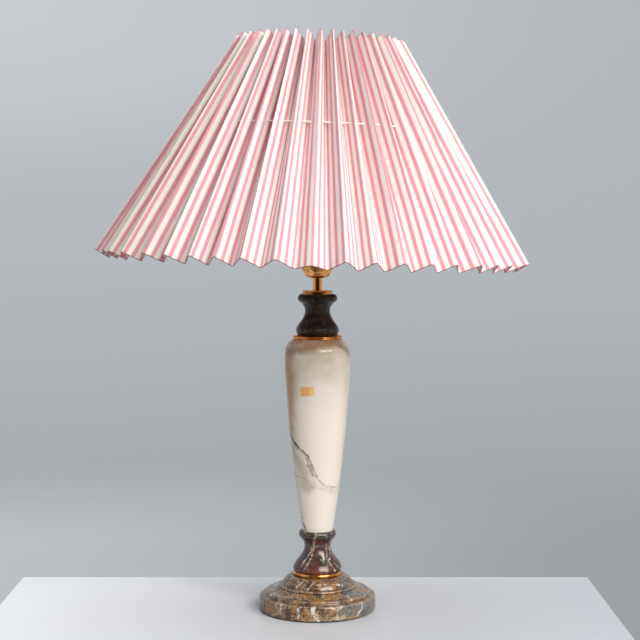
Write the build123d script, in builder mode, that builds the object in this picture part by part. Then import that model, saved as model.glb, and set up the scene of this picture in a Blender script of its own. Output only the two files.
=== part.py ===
from build123d import *
import os
from math import cos, hypot, pi, radians, sin

# Column table lamp: turned stone pieces drawn together on a threaded tube, a
# screw lampholder, and a pleated shade that sits on a wire carrier.
# Millimetres. +Z is up, the origin is the centre of the underside, and the
# front of the lamp faces -Y.

# ---- Driving dimensions -------------------------------------------------

# Heights of the joints between the stacked pieces
felt_top = 1.5
plinth_top = 36.2
lower_ring_top = 40.2
lower_spool_top = 81.7
column_top = 280.2
upper_ring_top = 284.2
upper_spool_top = 326.4
cover_disc_top = 330.2
cap_bottom = 343.0
cap_floor = 346.4

# Foot
plinth_radius = 60.0
plinth_wall_top = 16.4
plinth_edge_radius = 3.0
plinth_edge_chamfer = 0.8
lip_radius = 54.0
felt_radius = 57.0
recess_radius = 42.0
recess_depth = 10.5
column_foot_radius = 16.1
seat_depth = 1.5
seat_gap = 0.4

# Tie tube and its fixings
tube_radius = 5.0
tube_bore_radius = 3.8
tube_bottom = 4.5
tube_top = 351.0
stone_bore_radius = 5.5
nut_flats = 14.0
base_nut_height = 5.0
base_washer_radius = 16.0
base_washer_height = 2.0
locknut_height = 4.0

# Cord inlet at the back of the plinth
inlet_height = 7.5
inlet_bore_radius = 3.5
bush_radius = 5.0
bush_collar_radius = 6.2
bush_collar_back = 58.2
bush_collar_gap = 0.1
bush_end = 61.0

# Lampholder
barrel_radius = 19.6
barrel_wall = 1.2
barrel_bottom = 362.0
shoulder_bottom = 380.0
shoulder_top = 383.0
shoulder_radius = 23.0
barrel_top = 408.0
insert_radius = 18.1
insert_bottom = 372.0
insert_top = 382.0
insert_chamfer = 0.6
insert_hole_radius = 2.0
screw_offset = 11.0
screw_radius = 1.6
screw_hole_radius = 1.75
screw_length = 7.0
screw_head_radius = 3.0
screw_head_height = 2.4
screw_slot_width = 0.8
screw_slot_depth = 1.0
strip_width = 6.0
strip_thickness = 0.6
strip_tip_height = 384.6
shell_radius = 14.0
shell_wall = 0.5
shell_top = 406.0
sleeve_bore_radius = 15.2

# Push-through switch, across the barrel along X
switch_height = 367.0
switch_travel = 4.0
switch_rod_radius = 2.0
button_radius = 4.0
button_length = 9.0
button_reach = 2.4
button_edge_radius = 1.2
collar_bore_radius = 4.3
collar_radius = 5.6
collar_reach = 3.4
collar_sink = 0.4

# Bulb: screw cap 27 mm across, glass 60 mm across, 105 mm long
bulb_bottom = 385.0
bulb_length = 105.0
bulb_radius = 30.0
bulb_wall = 0.8
bulb_neck_radius = 12.2
glass_foot = 403.0
bulb_cap_radius = 13.0
bulb_cap_wall = 0.5
bulb_cap_bottom = 390.5
bulb_cap_top = 411.0
bulb_cap_chamfer = 0.8
contact_radius = 4.6
contact_height = 1.5
contact_edge_radius = 1.0
insulator_low_radius = 6.0
insulator_high_radius = 12.0

# Shade carrier
wire_radius = 1.5
fitter_thickness = 1.5
fitter_bore_radius = 20.1
fitter_radius = 28.0
ring_bore_radius = 19.95
ring_radius = 23.5
ring_height = 7.0
arm_count = 3
arm_start_radius = 24.4
arm_bend_from_axis = 36.0
arm_bend_radius = 9.0
weld_depth = 0.2

# Pleated shade. Levels are measured along the shade's own axis, up from the
# point of the lamp's axis that the shade leans about.
lean_height = 500.0
shade_lean = 2.1
pleat_count = 46
sheet_thickness = 0.6
fold_length_level = 225.5
ridge_bottom_level = -134.5
ridge_bottom_radius = 222.5
ridge_top_radius = 86.0
valley_bottom_radius = 209.6
valley_top_radius = 68.0
hoop_level = -6.0
hoop_radius = 119.8
main_thread_level = -4.0
main_thread_ring_radius = 131.0
main_thread_radius = 0.95
top_thread_level = 71.5
top_thread_ring_radius = 77.5
top_thread_radius = 0.6
thread_hole_gap = 0.2
# Radii between which each rim's cutting cone is drawn
lower_rim_cut = (190.0, 245.0)
upper_rim_cut = (110.0, 50.0)
spare_length = 8.0
# The pleats are a little uneven. Each wave: size in degrees, waves round the
# shade, phase in degrees
pleat_turn = -0.5
pleat_waves = ((1.2, 2, 350.0), (0.6, 6, 175.0), (0.45, 9, 140.0))

os.makedirs("parts", exist_ok=True)


def save(piece, name):
    """Label a finished piece and write it."""
    piece.part.label = name
    export_step(piece.part, f"parts/{name}.step")


def turned_ring(inner, outer, bottom, top):
    """Profile of a plain turned ring, on a plane that holds the axis."""
    with Locations(((inner + outer) / 2, (bottom + top) / 2)):
        Rectangle(outer - inner, top - bottom)


def lean_ring(radius, level, thickness_radius):
    """Profile of a round ring about the shade's axis, on the plane that holds it."""
    with Locations((radius, level)):
        Circle(thickness_radius)


# ---- Foot ---------------------------------------------------------------

with BuildPart() as felt_pad:
    Cylinder(felt_radius, felt_top, align=(Align.CENTER, Align.CENTER, Align.MIN))
save(felt_pad, "felt_pad")

# Straight wall with a rounded edge, a raised lip, a hollow, a small bead and a
# swelling top on which the brass ring sits
edge_start = (plinth_radius, plinth_wall_top - plinth_edge_radius)
edge_end = (plinth_radius - plinth_edge_radius, plinth_wall_top)
with BuildPart() as plinth:
    with BuildSketch(Plane.XZ):
        with BuildLine():
            Polyline(
                (0, felt_top),
                (plinth_radius - plinth_edge_chamfer, felt_top),
                (plinth_radius, felt_top + plinth_edge_chamfer),
                edge_start,
            )
            RadiusArc(edge_start, edge_end, -plinth_edge_radius)
            Polyline(edge_end, (54.6, 16.6), (lip_radius, 17.6))
            ThreePointArc((lip_radius, 17.6), (53.7, 19.3), (52.2, 20.2))
            ThreePointArc((52.2, 20.2), (46.0, 21.2), (40.4, 24.2))
            ThreePointArc((40.4, 24.2), (40.3, 25.8), (38.8, 26.4))
            Line((38.8, 26.4), (36.8, 26.9))
            ThreePointArc((36.8, 26.9), (33.6, 32.4), (26.2, plinth_top))
            Polyline((26.2, plinth_top), (0, plinth_top), (0, felt_top))
        make_face()
    revolve(axis=Axis.Z)
    with BuildSketch(Plane.XY.offset(felt_top)):
        Circle(recess_radius)
    extrude(amount=recess_depth, mode=Mode.SUBTRACT)
    with BuildSketch(Plane.XY.offset(felt_top)):
        Circle(stone_bore_radius)
    extrude(amount=plinth_top, mode=Mode.SUBTRACT)
    with BuildSketch(Plane(origin=(0, recess_radius - 5, inlet_height), z_dir=(0, 1, 0))):
        Circle(bush_radius)
    extrude(amount=plinth_radius, mode=Mode.SUBTRACT)
    with BuildSketch(Plane(origin=(0, bush_collar_back, inlet_height), z_dir=(0, 1, 0))):
        Circle(bush_collar_radius + bush_collar_gap)
    extrude(amount=plinth_radius, mode=Mode.SUBTRACT)
save(plinth, "plinth")

with BuildPart() as cord_bush:
    with BuildSketch(Plane(origin=(0, recess_radius - 1, inlet_height), z_dir=(0, 1, 0))):
        Circle(bush_radius)
    extrude(amount=bush_end - recess_radius + 1)
    with BuildSketch(Plane(origin=(0, bush_collar_back, inlet_height), z_dir=(0, 1, 0))):
        Circle(bush_collar_radius)
    extrude(amount=bush_end - bush_collar_back)
    fillet(cord_bush.edges().group_by(Axis.Y)[-1], radius=0.8)
    with BuildSketch(Plane(origin=(0, recess_radius - 5, inlet_height), z_dir=(0, 1, 0))):
        Circle(inlet_bore_radius)
    extrude(amount=plinth_radius, mode=Mode.SUBTRACT)
save(cord_bush, "cord_bush")

recess_top = felt_top + recess_depth
with BuildPart() as base_washer:
    with BuildSketch(Plane.XY.offset(recess_top - base_washer_height)):
        Circle(base_washer_radius)
        Circle(stone_bore_radius, mode=Mode.SUBTRACT)
    extrude(amount=base_washer_height)
    chamfer(base_washer.edges().group_by(Axis.Z)[0].sort_by(SortBy.RADIUS)[-1], length=0.4)
save(base_washer, "base_washer")

base_nut_bottom = recess_top - base_washer_height - base_nut_height
with BuildPart() as base_nut:
    with BuildSketch(Plane.XY.offset(base_nut_bottom)):
        RegularPolygon(nut_flats / 2, 6, major_radius=False)
        Circle(tube_radius, mode=Mode.SUBTRACT)
    extrude(amount=base_nut_height)
save(base_nut, "base_nut")

with BuildPart() as tie_tube:
    with BuildSketch(Plane.XY.offset(tube_bottom)):
        Circle(tube_radius)
        Circle(tube_bore_radius, mode=Mode.SUBTRACT)
    extrude(amount=tube_top - tube_bottom)
    chamfer(tie_tube.edges().group_by(Axis.Z)[0].sort_by(SortBy.RADIUS)[-1], length=0.5)
save(tie_tube, "tie_tube")

# ---- Column -------------------------------------------------------------

with BuildPart() as lower_ring:
    with BuildSketch(Plane.XZ):
        turned_ring(stone_bore_radius, 25.6, plinth_top, lower_ring_top)
    revolve(axis=Axis.Z)
    fillet(lower_ring.edges().filter_by(GeomType.CIRCLE).sort_by(SortBy.RADIUS)[-2:], radius=1.9)
save(lower_ring, "lower_ring")

with BuildPart() as lower_spool:
    with BuildSketch(Plane.XZ):
        with BuildLine():
            Polyline((stone_bore_radius, lower_ring_top), (24.4, lower_ring_top))
            ThreePointArc((24.4, lower_ring_top), (25.4, 42.2), (24.8, 44.8))
            Spline(
                (24.8, 44.8),
                (21.7, 50.4),
                (16.2, 57.5),
                (13.6, 64.3),
                (14.0, 68.2),
                (17.4, 73.6),
                tangents=((-0.3, 1), (1, 1)),
            )
            Line((17.4, 73.6), (18.1, 74.6))
            ThreePointArc((18.1, 74.6), (19.5, 78.0), (17.7, lower_spool_top))
            Polyline(
                (17.7, lower_spool_top),
                (column_foot_radius + seat_gap, lower_spool_top),
                (column_foot_radius + seat_gap, lower_spool_top - seat_depth),
                (stone_bore_radius, lower_spool_top - seat_depth),
                (stone_bore_radius, lower_ring_top),
            )
        make_face()
    revolve(axis=Axis.Z)
save(lower_spool, "lower_spool")

shoulder_start = (33.9, 266.0)
with BuildPart() as alabaster_column:
    with BuildSketch(Plane.XZ):
        with BuildLine():
            Polyline(
                (stone_bore_radius, lower_spool_top - seat_depth),
                (column_foot_radius, lower_spool_top - seat_depth),
                (column_foot_radius, lower_spool_top),
            )
            Spline(
                (column_foot_radius, lower_spool_top),
                (21.1, 115.0),
                (25.8, 152.0),
                (29.8, 190.0),
                (32.7, 227.0),
                (34.4, 255.0),
                shoulder_start,
                tangents=((0.15, 1), (-0.12, 1)),
            )
            ThreePointArc(shoulder_start, (31.2, 275.2), (24.6, column_top))
            Polyline(
                (24.6, column_top),
                (stone_bore_radius, column_top),
                (stone_bore_radius, lower_spool_top - seat_depth),
            )
        make_face()
    revolve(axis=Axis.Z)
save(alabaster_column, "alabaster_column")

# Two rounded beads with a groove between them, and a top that slopes inwards
upper_ring_groove = 281.5
with BuildPart() as upper_ring:
    with BuildSketch(Plane.XZ):
        with BuildLine():
            Polyline((stone_bore_radius, column_top), (25.3, column_top))
            ThreePointArc((25.3, column_top), (26.0, 280.8), (25.5, upper_ring_groove))
            ThreePointArc((25.5, upper_ring_groove), (26.4, 282.3), (25.8, 283.2))
            Polyline(
                (25.8, 283.2),
                (23.9, upper_ring_top),
                (stone_bore_radius, upper_ring_top),
                (stone_bore_radius, column_top),
            )
        make_face()
    revolve(axis=Axis.Z)
save(upper_ring, "upper_ring")

with BuildPart() as upper_spool:
    with BuildSketch(Plane.XZ):
        with BuildLine():
            Polyline((stone_bore_radius, upper_ring_top), (20.4, upper_ring_top))
            ThreePointArc((20.4, upper_ring_top), (22.0, 287.0), (21.9, 291.4))
            Spline(
                (21.9, 291.4),
                (17.9, 297.4),
                (14.3, 303.5),
                (13.0, 309.4),
                (15.0, 315.0),
                (19.3, 318.8),
                tangents=((-0.5, 1), (1, 0.45)),
            )
            ThreePointArc((19.3, 318.8), (20.6, 322.0), (17.2, upper_spool_top))
            Polyline(
                (17.2, upper_spool_top),
                (stone_bore_radius, upper_spool_top),
                (stone_bore_radius, upper_ring_top),
            )
        make_face()
    revolve(axis=Axis.Z)
save(upper_spool, "upper_spool")

cover_disc_step = 327.4
with BuildPart() as cover_disc:
    with BuildSketch(Plane.XZ):
        turned_ring(tube_radius, 14.8, upper_spool_top, cover_disc_step)
        turned_ring(tube_radius, 16.0, cover_disc_step, cover_disc_top)
    revolve(axis=Axis.Z)
    fillet(cover_disc.edges().filter_by(GeomType.CIRCLE).sort_by(SortBy.RADIUS)[-2:], radius=1.1)
save(cover_disc, "cover_disc")

# ---- Lampholder ---------------------------------------------------------

# The bowl flares from a small flat bottom to the barrel, and is hollow
cap_wall = 1.0
with BuildPart() as holder_cap:
    with BuildSketch(Plane.XZ):
        with BuildLine():
            Polyline((tube_radius, cap_bottom), (8.3, cap_bottom))
            ThreePointArc((8.3, cap_bottom), (11.2, 344.1), (13.2, 346.6))
            ThreePointArc((13.2, 346.6), (16.5, 351.8), (18.6, 357.2))
            Polyline((18.6, 357.2), (barrel_radius, 358.6), (barrel_radius, barrel_bottom))
            Polyline(
                (barrel_radius, barrel_bottom),
                (barrel_radius - cap_wall, barrel_bottom),
                (barrel_radius - cap_wall, 358.8),
                (17.0, 356.4),
                (11.6, cap_floor),
                (tube_radius, cap_floor),
                (tube_radius, cap_bottom),
            )
        make_face()
    revolve(axis=Axis.Z)
save(holder_cap, "holder_cap")

with BuildPart() as cap_locknut:
    with BuildSketch(Plane.XY.offset(cap_floor)):
        RegularPolygon(nut_flats / 2, 6, major_radius=False)
        Circle(tube_radius, mode=Mode.SUBTRACT)
    extrude(amount=locknut_height)
save(cap_locknut, "cap_locknut")

with BuildPart() as holder_body:
    with BuildSketch(Plane.XZ):
        turned_ring(barrel_radius - barrel_wall, barrel_radius, barrel_bottom, barrel_top)
        turned_ring(barrel_radius, shoulder_radius, shoulder_bottom, shoulder_top)
    revolve(axis=Axis.Z)
    with BuildSketch(Plane.YZ.offset(-shoulder_radius)):
        with Locations((0, switch_height)):
            Circle(collar_bore_radius)
    extrude(amount=2 * shoulder_radius, mode=Mode.SUBTRACT)
save(holder_body, "holder_body")

screw_places = ((0, screw_offset), (0, -screw_offset))
with BuildPart() as porcelain_insert:
    with BuildSketch(Plane.XY.offset(insert_bottom)):
        Circle(insert_radius)
        Circle(insert_hole_radius, mode=Mode.SUBTRACT)
        with Locations(*screw_places):
            Circle(screw_hole_radius, mode=Mode.SUBTRACT)
    extrude(amount=insert_top - insert_bottom)
    chamfer(porcelain_insert.edges().group_by(Axis.Z)[0].sort_by(SortBy.RADIUS)[-1], length=insert_chamfer)
save(porcelain_insert, "porcelain_insert")

solid_head_height = screw_head_height - screw_slot_depth
with BuildPart() as terminal_screws:
    with BuildSketch(Plane.XY.offset(insert_bottom)):
        with Locations(*screw_places):
            Circle(screw_radius)
    extrude(amount=screw_length)
    with BuildSketch(Plane.XY.offset(insert_bottom - screw_head_height)):
        with Locations(*screw_places):
            Circle(screw_head_radius)
            Rectangle(2 * screw_head_radius + 1, screw_slot_width, mode=Mode.SUBTRACT)
    extrude(amount=screw_head_height)
    with BuildSketch(Plane.XY.offset(insert_bottom - solid_head_height)):
        with Locations(*screw_places):
            Circle(screw_head_radius)
    extrude(amount=solid_head_height)
save(terminal_screws, "terminal_screws")

# A flat strip whose free end stands up to meet the bulb
strip_top = insert_top + strip_thickness
strip_tip_under = strip_tip_height - strip_thickness
with BuildPart() as centre_contact:
    with BuildSketch(Plane.XZ.offset(-strip_width / 2)):
        with BuildLine():
            Polyline(
                (-9.0, insert_top),
                (-1.0, insert_top),
                (2.0, strip_tip_under),
                (6.0, strip_tip_under),
                (6.0, strip_tip_height),
                (1.7, strip_tip_height),
                (-1.3, strip_top),
                (-9.0, strip_top),
                (-9.0, insert_top),
            )
        make_face()
    extrude(amount=strip_width)
save(centre_contact, "centre_contact")

with BuildPart() as screw_shell:
    with BuildSketch(Plane.XZ):
        turned_ring(shell_radius - shell_wall, shell_radius, insert_top, shell_top)
    revolve(axis=Axis.Z)
save(screw_shell, "screw_shell")

with BuildPart() as insulating_sleeve:
    with BuildSketch(Plane.XZ):
        turned_ring(sleeve_bore_radius, insert_radius, insert_top, barrel_top - 1)
    revolve(axis=Axis.Z)
save(insulating_sleeve, "insulating_sleeve")

with BuildPart() as switch_collars:
    for side in (-1, 1):
        collar_start = (side * (barrel_radius - collar_sink), 0, switch_height)
        with BuildSketch(Plane(origin=collar_start, z_dir=(side, 0, 0))):
            Circle(collar_radius)
            Circle(collar_bore_radius, mode=Mode.SUBTRACT)
        extrude(amount=collar_reach)
    with BuildSketch(Plane.XY.offset(barrel_bottom - 5)):
        Circle(barrel_radius)
    extrude(amount=barrel_top - barrel_bottom, mode=Mode.SUBTRACT)
save(switch_collars, "switch_collars")

# One rod with a button at each end. At rest it is pushed towards -X.
button_end = barrel_radius + collar_reach + switch_travel + button_reach
with BuildPart() as switch_bar:
    with BuildSketch(Plane.YZ.offset(-button_end)):
        with Locations((0, switch_height)):
            Circle(switch_rod_radius)
    extrude(amount=2 * button_end - switch_travel)
    for button_start in (-button_end, button_end - switch_travel - button_length):
        with BuildSketch(Plane.YZ.offset(button_start)):
            with Locations((0, switch_height)):
                Circle(button_radius)
        extrude(amount=button_length)
    fillet(switch_bar.edges().group_by(Axis.X)[0], radius=button_edge_radius)
    fillet(switch_bar.edges().group_by(Axis.X)[-1], radius=button_edge_radius)
save(switch_bar, "switch_bar")

# ---- Bulb ---------------------------------------------------------------

with BuildPart() as bulb_contact:
    with BuildSketch(Plane.XY.offset(bulb_bottom)):
        Circle(contact_radius)
    extrude(amount=contact_height)
    fillet(bulb_contact.edges().group_by(Axis.Z)[0], radius=contact_edge_radius)
save(bulb_contact, "bulb_contact")

with BuildPart() as bulb_insulator:
    with BuildSketch(Plane.XZ):
        Polygon(
            (0, bulb_bottom + contact_height),
            (insulator_low_radius, bulb_bottom + contact_height),
            (insulator_high_radius, bulb_cap_bottom),
            (0, bulb_cap_bottom),
            align=None,
        )
    revolve(axis=Axis.Z)
save(bulb_insulator, "bulb_insulator")

with BuildPart() as bulb_cap:
    with BuildSketch(Plane.XY.offset(bulb_cap_bottom)):
        Circle(bulb_cap_radius)
    extrude(amount=bulb_cap_top - bulb_cap_bottom)
    chamfer(bulb_cap.edges().group_by(Axis.Z)[0], length=bulb_cap_chamfer)
    with BuildSketch(Plane.XY.offset(bulb_cap_bottom + bulb_cap_wall)):
        Circle(bulb_cap_radius - bulb_cap_wall)
    extrude(amount=bulb_cap_top, mode=Mode.SUBTRACT)
save(bulb_cap, "bulb_cap")


def glass_outline(wall):
    """Closed outline of half the bulb's section, a wall's thickness inside its skin."""
    ball = bulb_radius - wall
    ball_height = bulb_bottom + bulb_length - bulb_radius
    neck = bulb_neck_radius - wall
    foot = glass_foot + wall
    join = radians(38)
    join_point = (ball * cos(join), ball_height - ball * sin(join))
    brow = radians(20)
    with BuildLine() as outline:
        Polyline((0, foot), (neck, foot), (neck, bulb_cap_top + 1))
        Spline((neck, bulb_cap_top + 1), join_point, tangents=((0, 1), (sin(join), cos(join))))
        ThreePointArc(join_point, (ball * cos(brow), ball_height + ball * sin(brow)), (0, ball_height + ball))
        Line((0, ball_height + ball), (0, foot))
    return outline.edges()


with BuildPart() as bulb_glass:
    with BuildSketch(Plane.XZ):
        make_face(glass_outline(0))
        make_face(glass_outline(bulb_wall), mode=Mode.SUBTRACT)
    revolve(axis=Axis.Z)
save(bulb_glass, "bulb_glass")

# ---- Shade carrier ------------------------------------------------------

# The shade leans a little to the right, about the Y axis, and the hoop that
# carries it leans with it
shade_plane = Plane((0, 0, lean_height)).rotated((0, shade_lean, 0))
shade_axis = Axis(shade_plane.origin, shade_plane.z_dir)
shade_section = Plane(shade_plane.origin, x_dir=shade_plane.x_dir, z_dir=-shade_plane.y_dir)

fitter_top = shoulder_top + fitter_thickness
with BuildPart() as fitter_ring:
    with BuildSketch(Plane.XY.offset(shoulder_top)):
        Circle(fitter_radius)
        Circle(fitter_bore_radius, mode=Mode.SUBTRACT)
    extrude(amount=fitter_thickness)
save(fitter_ring, "fitter_ring")

with BuildPart() as carrier_hoop:
    with BuildSketch(shade_section):
        lean_ring(hoop_radius, hoop_level, wire_radius)
    revolve(axis=shade_axis)
save(carrier_hoop, "carrier_hoop")

arm_base_height = fitter_top + wire_radius - weld_depth
with BuildPart() as carrier_arms:
    for arm in range(arm_count):
        turn = radians(90 + arm * 360 / arm_count)
        outward = Vector(cos(turn), sin(turn), 0)
        hoop_height = lean_height + hoop_level - hoop_radius * cos(turn) * sin(radians(shade_lean))
        with BuildLine(Plane((0, 0, 0), x_dir=outward, z_dir=(sin(turn), -cos(turn), 0))) as arm_line:
            FilletPolyline(
                (arm_start_radius, arm_base_height),
                (arm_bend_from_axis, arm_base_height),
                (hoop_radius - 1, hoop_height - 1),
                radius=arm_bend_radius,
            )
        with BuildSketch(Plane(origin=arm_line.line @ 0, z_dir=arm_line.line % 0)):
            Circle(wire_radius)
        sweep(path=arm_line.line)
save(carrier_arms, "carrier_arms")

with BuildPart() as shade_ring:
    with BuildSketch(Plane.XZ):
        turned_ring(ring_bore_radius, ring_radius, fitter_top, fitter_top + ring_height)
    revolve(axis=Axis.Z)
    chamfer(shade_ring.edges().filter_by(GeomType.CIRCLE).sort_by(SortBy.RADIUS)[-2:], length=0.7)
save(shade_ring, "shade_ring")

# ---- Pleated shade ------------------------------------------------------

# The sheet is cut square to its folds, so a ridge, which stands further out,
# ends higher than the valley beside it at both rims.
ridge_top_level = ridge_bottom_level + fold_length_level
rim_slope = (ridge_bottom_radius - ridge_top_radius) / fold_length_level
valley_bottom_level = ridge_bottom_level - rim_slope * (ridge_bottom_radius - valley_bottom_radius)
valley_top_level = ridge_top_level - rim_slope * (ridge_top_radius - valley_top_radius)


def along(level, low_level, low_radius, high_level, high_radius):
    """Radius at a level of the straight line through two points."""
    share = (level - low_level) / (high_level - low_level)
    return low_radius + share * (high_radius - low_radius)


def fold_angle(fold):
    """Direction of a fold in degrees. Even folds are valleys, odd ones ridges."""
    even = fold * 180 / pleat_count
    drift = sum(size * sin(radians(waves * even + phase)) for size, waves, phase in pleat_waves)
    return even + pleat_turn + drift


def pleat_outline(level, side):
    """Corners of the pleats at a level, on the sheet's outer (1) or inner (-1) face."""
    ridge = along(level, ridge_bottom_level, ridge_bottom_radius, ridge_top_level, ridge_top_radius)
    valley = along(level, valley_bottom_level, valley_bottom_radius, valley_top_level, valley_top_radius)
    half_width = pi * (ridge + valley) / 2 / pleat_count
    radial_wall = sheet_thickness / 2 * hypot(half_width, ridge - valley) / half_width
    corners = []
    for fold in range(2 * pleat_count):
        radius = (ridge if fold % 2 else valley) + side * radial_wall
        turn = radians(fold_angle(fold))
        corners.append((radius * cos(turn), radius * sin(turn)))
    return corners


def rim_level(radius, ridge_radius, ridge_level):
    """Level at a radius of the cone that cuts a rim square to the folds."""
    return ridge_level + rim_slope * (radius - ridge_radius)


lower_level = valley_bottom_level - spare_length
upper_level = ridge_top_level + spare_length
with BuildPart() as pleated_shade:
    for side, mode in ((1, Mode.ADD), (-1, Mode.SUBTRACT)):
        for level in (lower_level, upper_level):
            with BuildSketch(shade_plane.offset(level)):
                Polygon(*pleat_outline(level, side), align=None)
        loft(ruled=True, mode=mode)
    with BuildSketch(shade_section):
        Polygon(
            *[(radius, rim_level(radius, ridge_bottom_radius, ridge_bottom_level)) for radius in lower_rim_cut],
            *[(radius, rim_level(radius, ridge_top_radius, ridge_top_level)) for radius in upper_rim_cut],
            align=None,
        )
    revolve(axis=shade_axis, mode=Mode.INTERSECT)
    with BuildSketch(shade_section):
        lean_ring(main_thread_ring_radius, main_thread_level, main_thread_radius + thread_hole_gap)
        lean_ring(top_thread_ring_radius, top_thread_level, top_thread_radius + thread_hole_gap)
    revolve(axis=shade_axis, mode=Mode.SUBTRACT)
save(pleated_shade, "pleated_shade")

with BuildPart() as main_thread:
    with BuildSketch(shade_section):
        lean_ring(main_thread_ring_radius, main_thread_level, main_thread_radius)
    revolve(axis=shade_axis)
save(main_thread, "main_thread")

with BuildPart() as top_thread:
    with BuildSketch(shade_section):
        lean_ring(top_thread_ring_radius, top_thread_level, top_thread_radius)
    revolve(axis=shade_axis)
save(top_thread, "top_thread")
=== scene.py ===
"""A column table lamp with its finishes, in a plain studio.

Turned stone pieces stand on a round foot and are drawn together on a threaded
tube. A screw lampholder on top carries a wire frame, and a pleated shade of
striped cloth rests on the frame. Sections are drawn in millimetres, as on the
turner's drawing. All that is made is in metres.
"""

import logging
from cmath import exp, phase
from contextlib import contextmanager
from dataclasses import dataclass
from enum import Enum
from math import cos, dist, hypot, pi, radians, sin
from typing import Callable, Iterator, Sequence

import bpy
import numpy as np
from mathutils import Matrix, Vector


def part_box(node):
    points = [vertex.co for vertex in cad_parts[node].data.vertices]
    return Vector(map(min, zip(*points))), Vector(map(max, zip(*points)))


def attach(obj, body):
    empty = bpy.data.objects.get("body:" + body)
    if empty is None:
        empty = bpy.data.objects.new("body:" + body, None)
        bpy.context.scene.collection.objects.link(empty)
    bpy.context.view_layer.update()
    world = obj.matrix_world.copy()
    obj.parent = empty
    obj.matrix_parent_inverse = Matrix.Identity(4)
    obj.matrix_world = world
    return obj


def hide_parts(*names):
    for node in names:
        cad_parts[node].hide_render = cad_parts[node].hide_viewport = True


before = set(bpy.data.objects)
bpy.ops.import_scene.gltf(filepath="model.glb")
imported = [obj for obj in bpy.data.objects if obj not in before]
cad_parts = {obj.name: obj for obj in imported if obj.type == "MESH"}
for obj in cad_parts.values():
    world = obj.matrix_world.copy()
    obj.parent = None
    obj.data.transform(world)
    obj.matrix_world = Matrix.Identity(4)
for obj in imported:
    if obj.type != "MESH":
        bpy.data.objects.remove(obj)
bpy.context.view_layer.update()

LOG = logging.getLogger("lamp")
MM = 0.001
TURN = 2 * pi
MERGE_GAP = 0.002 * MM
FOLD_MERGE_GAP = 0.05 * MM
NEAR = 0.1
SENSOR_WIDTH = 36

Point = tuple[float, float]
Colour = tuple[float, float, float, float]
Source = bpy.types.NodeSocket | float | Sequence[float]


class Body(Enum):
    """The bodies of the lamp that move apart."""

    STAND = "stand"
    BULB = "bulb"
    CARRIER = "carrier"
    RING = "ring"
    SHADE = "shade"


class Slot(Enum):
    """The finishes that the lamp's pieces are made in."""

    FELT = "felt"
    OCHRE_MARBLE = "ochre_marble"
    RED_MARBLE = "red_marble"
    DARK_MARBLE = "dark_marble"
    ALABASTER = "alabaster"
    BRASS = "brass"
    STEEL = "steel"
    BLACK_BUSH = "black_bush"
    PORCELAIN = "porcelain"
    CONTACT_STRIP = "contact_strip"
    SLEEVE = "sleeve"
    SWITCH_BAR = "switch_bar"
    SOLDER = "solder"
    CAP_INSULATOR = "cap_insulator"
    BULB_CAP = "bulb_cap"
    OPAL_GLASS = "opal_glass"
    CARRIER_WIRE = "carrier_wire"
    STRIPED_SHEET = "striped_sheet"
    THREAD = "thread"


# ---- Shader trees ---------------------------------------------------------


def tint(red: int, green: int, blue: int) -> Colour:
    """A colour as nodes take it.

    Args:
        red: Display value from 0 to 255.
        green: Display value from 0 to 255.
        blue: Display value from 0 to 255.

    Returns:
        The same colour in linear values, with a full alpha.
    """
    shares = [value / 255 for value in (red, green, blue)]
    return (*(s / 12.92 if s <= 0.04045 else ((s + 0.055) / 1.055) ** 2.4 for s in shares), 1.0)


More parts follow.
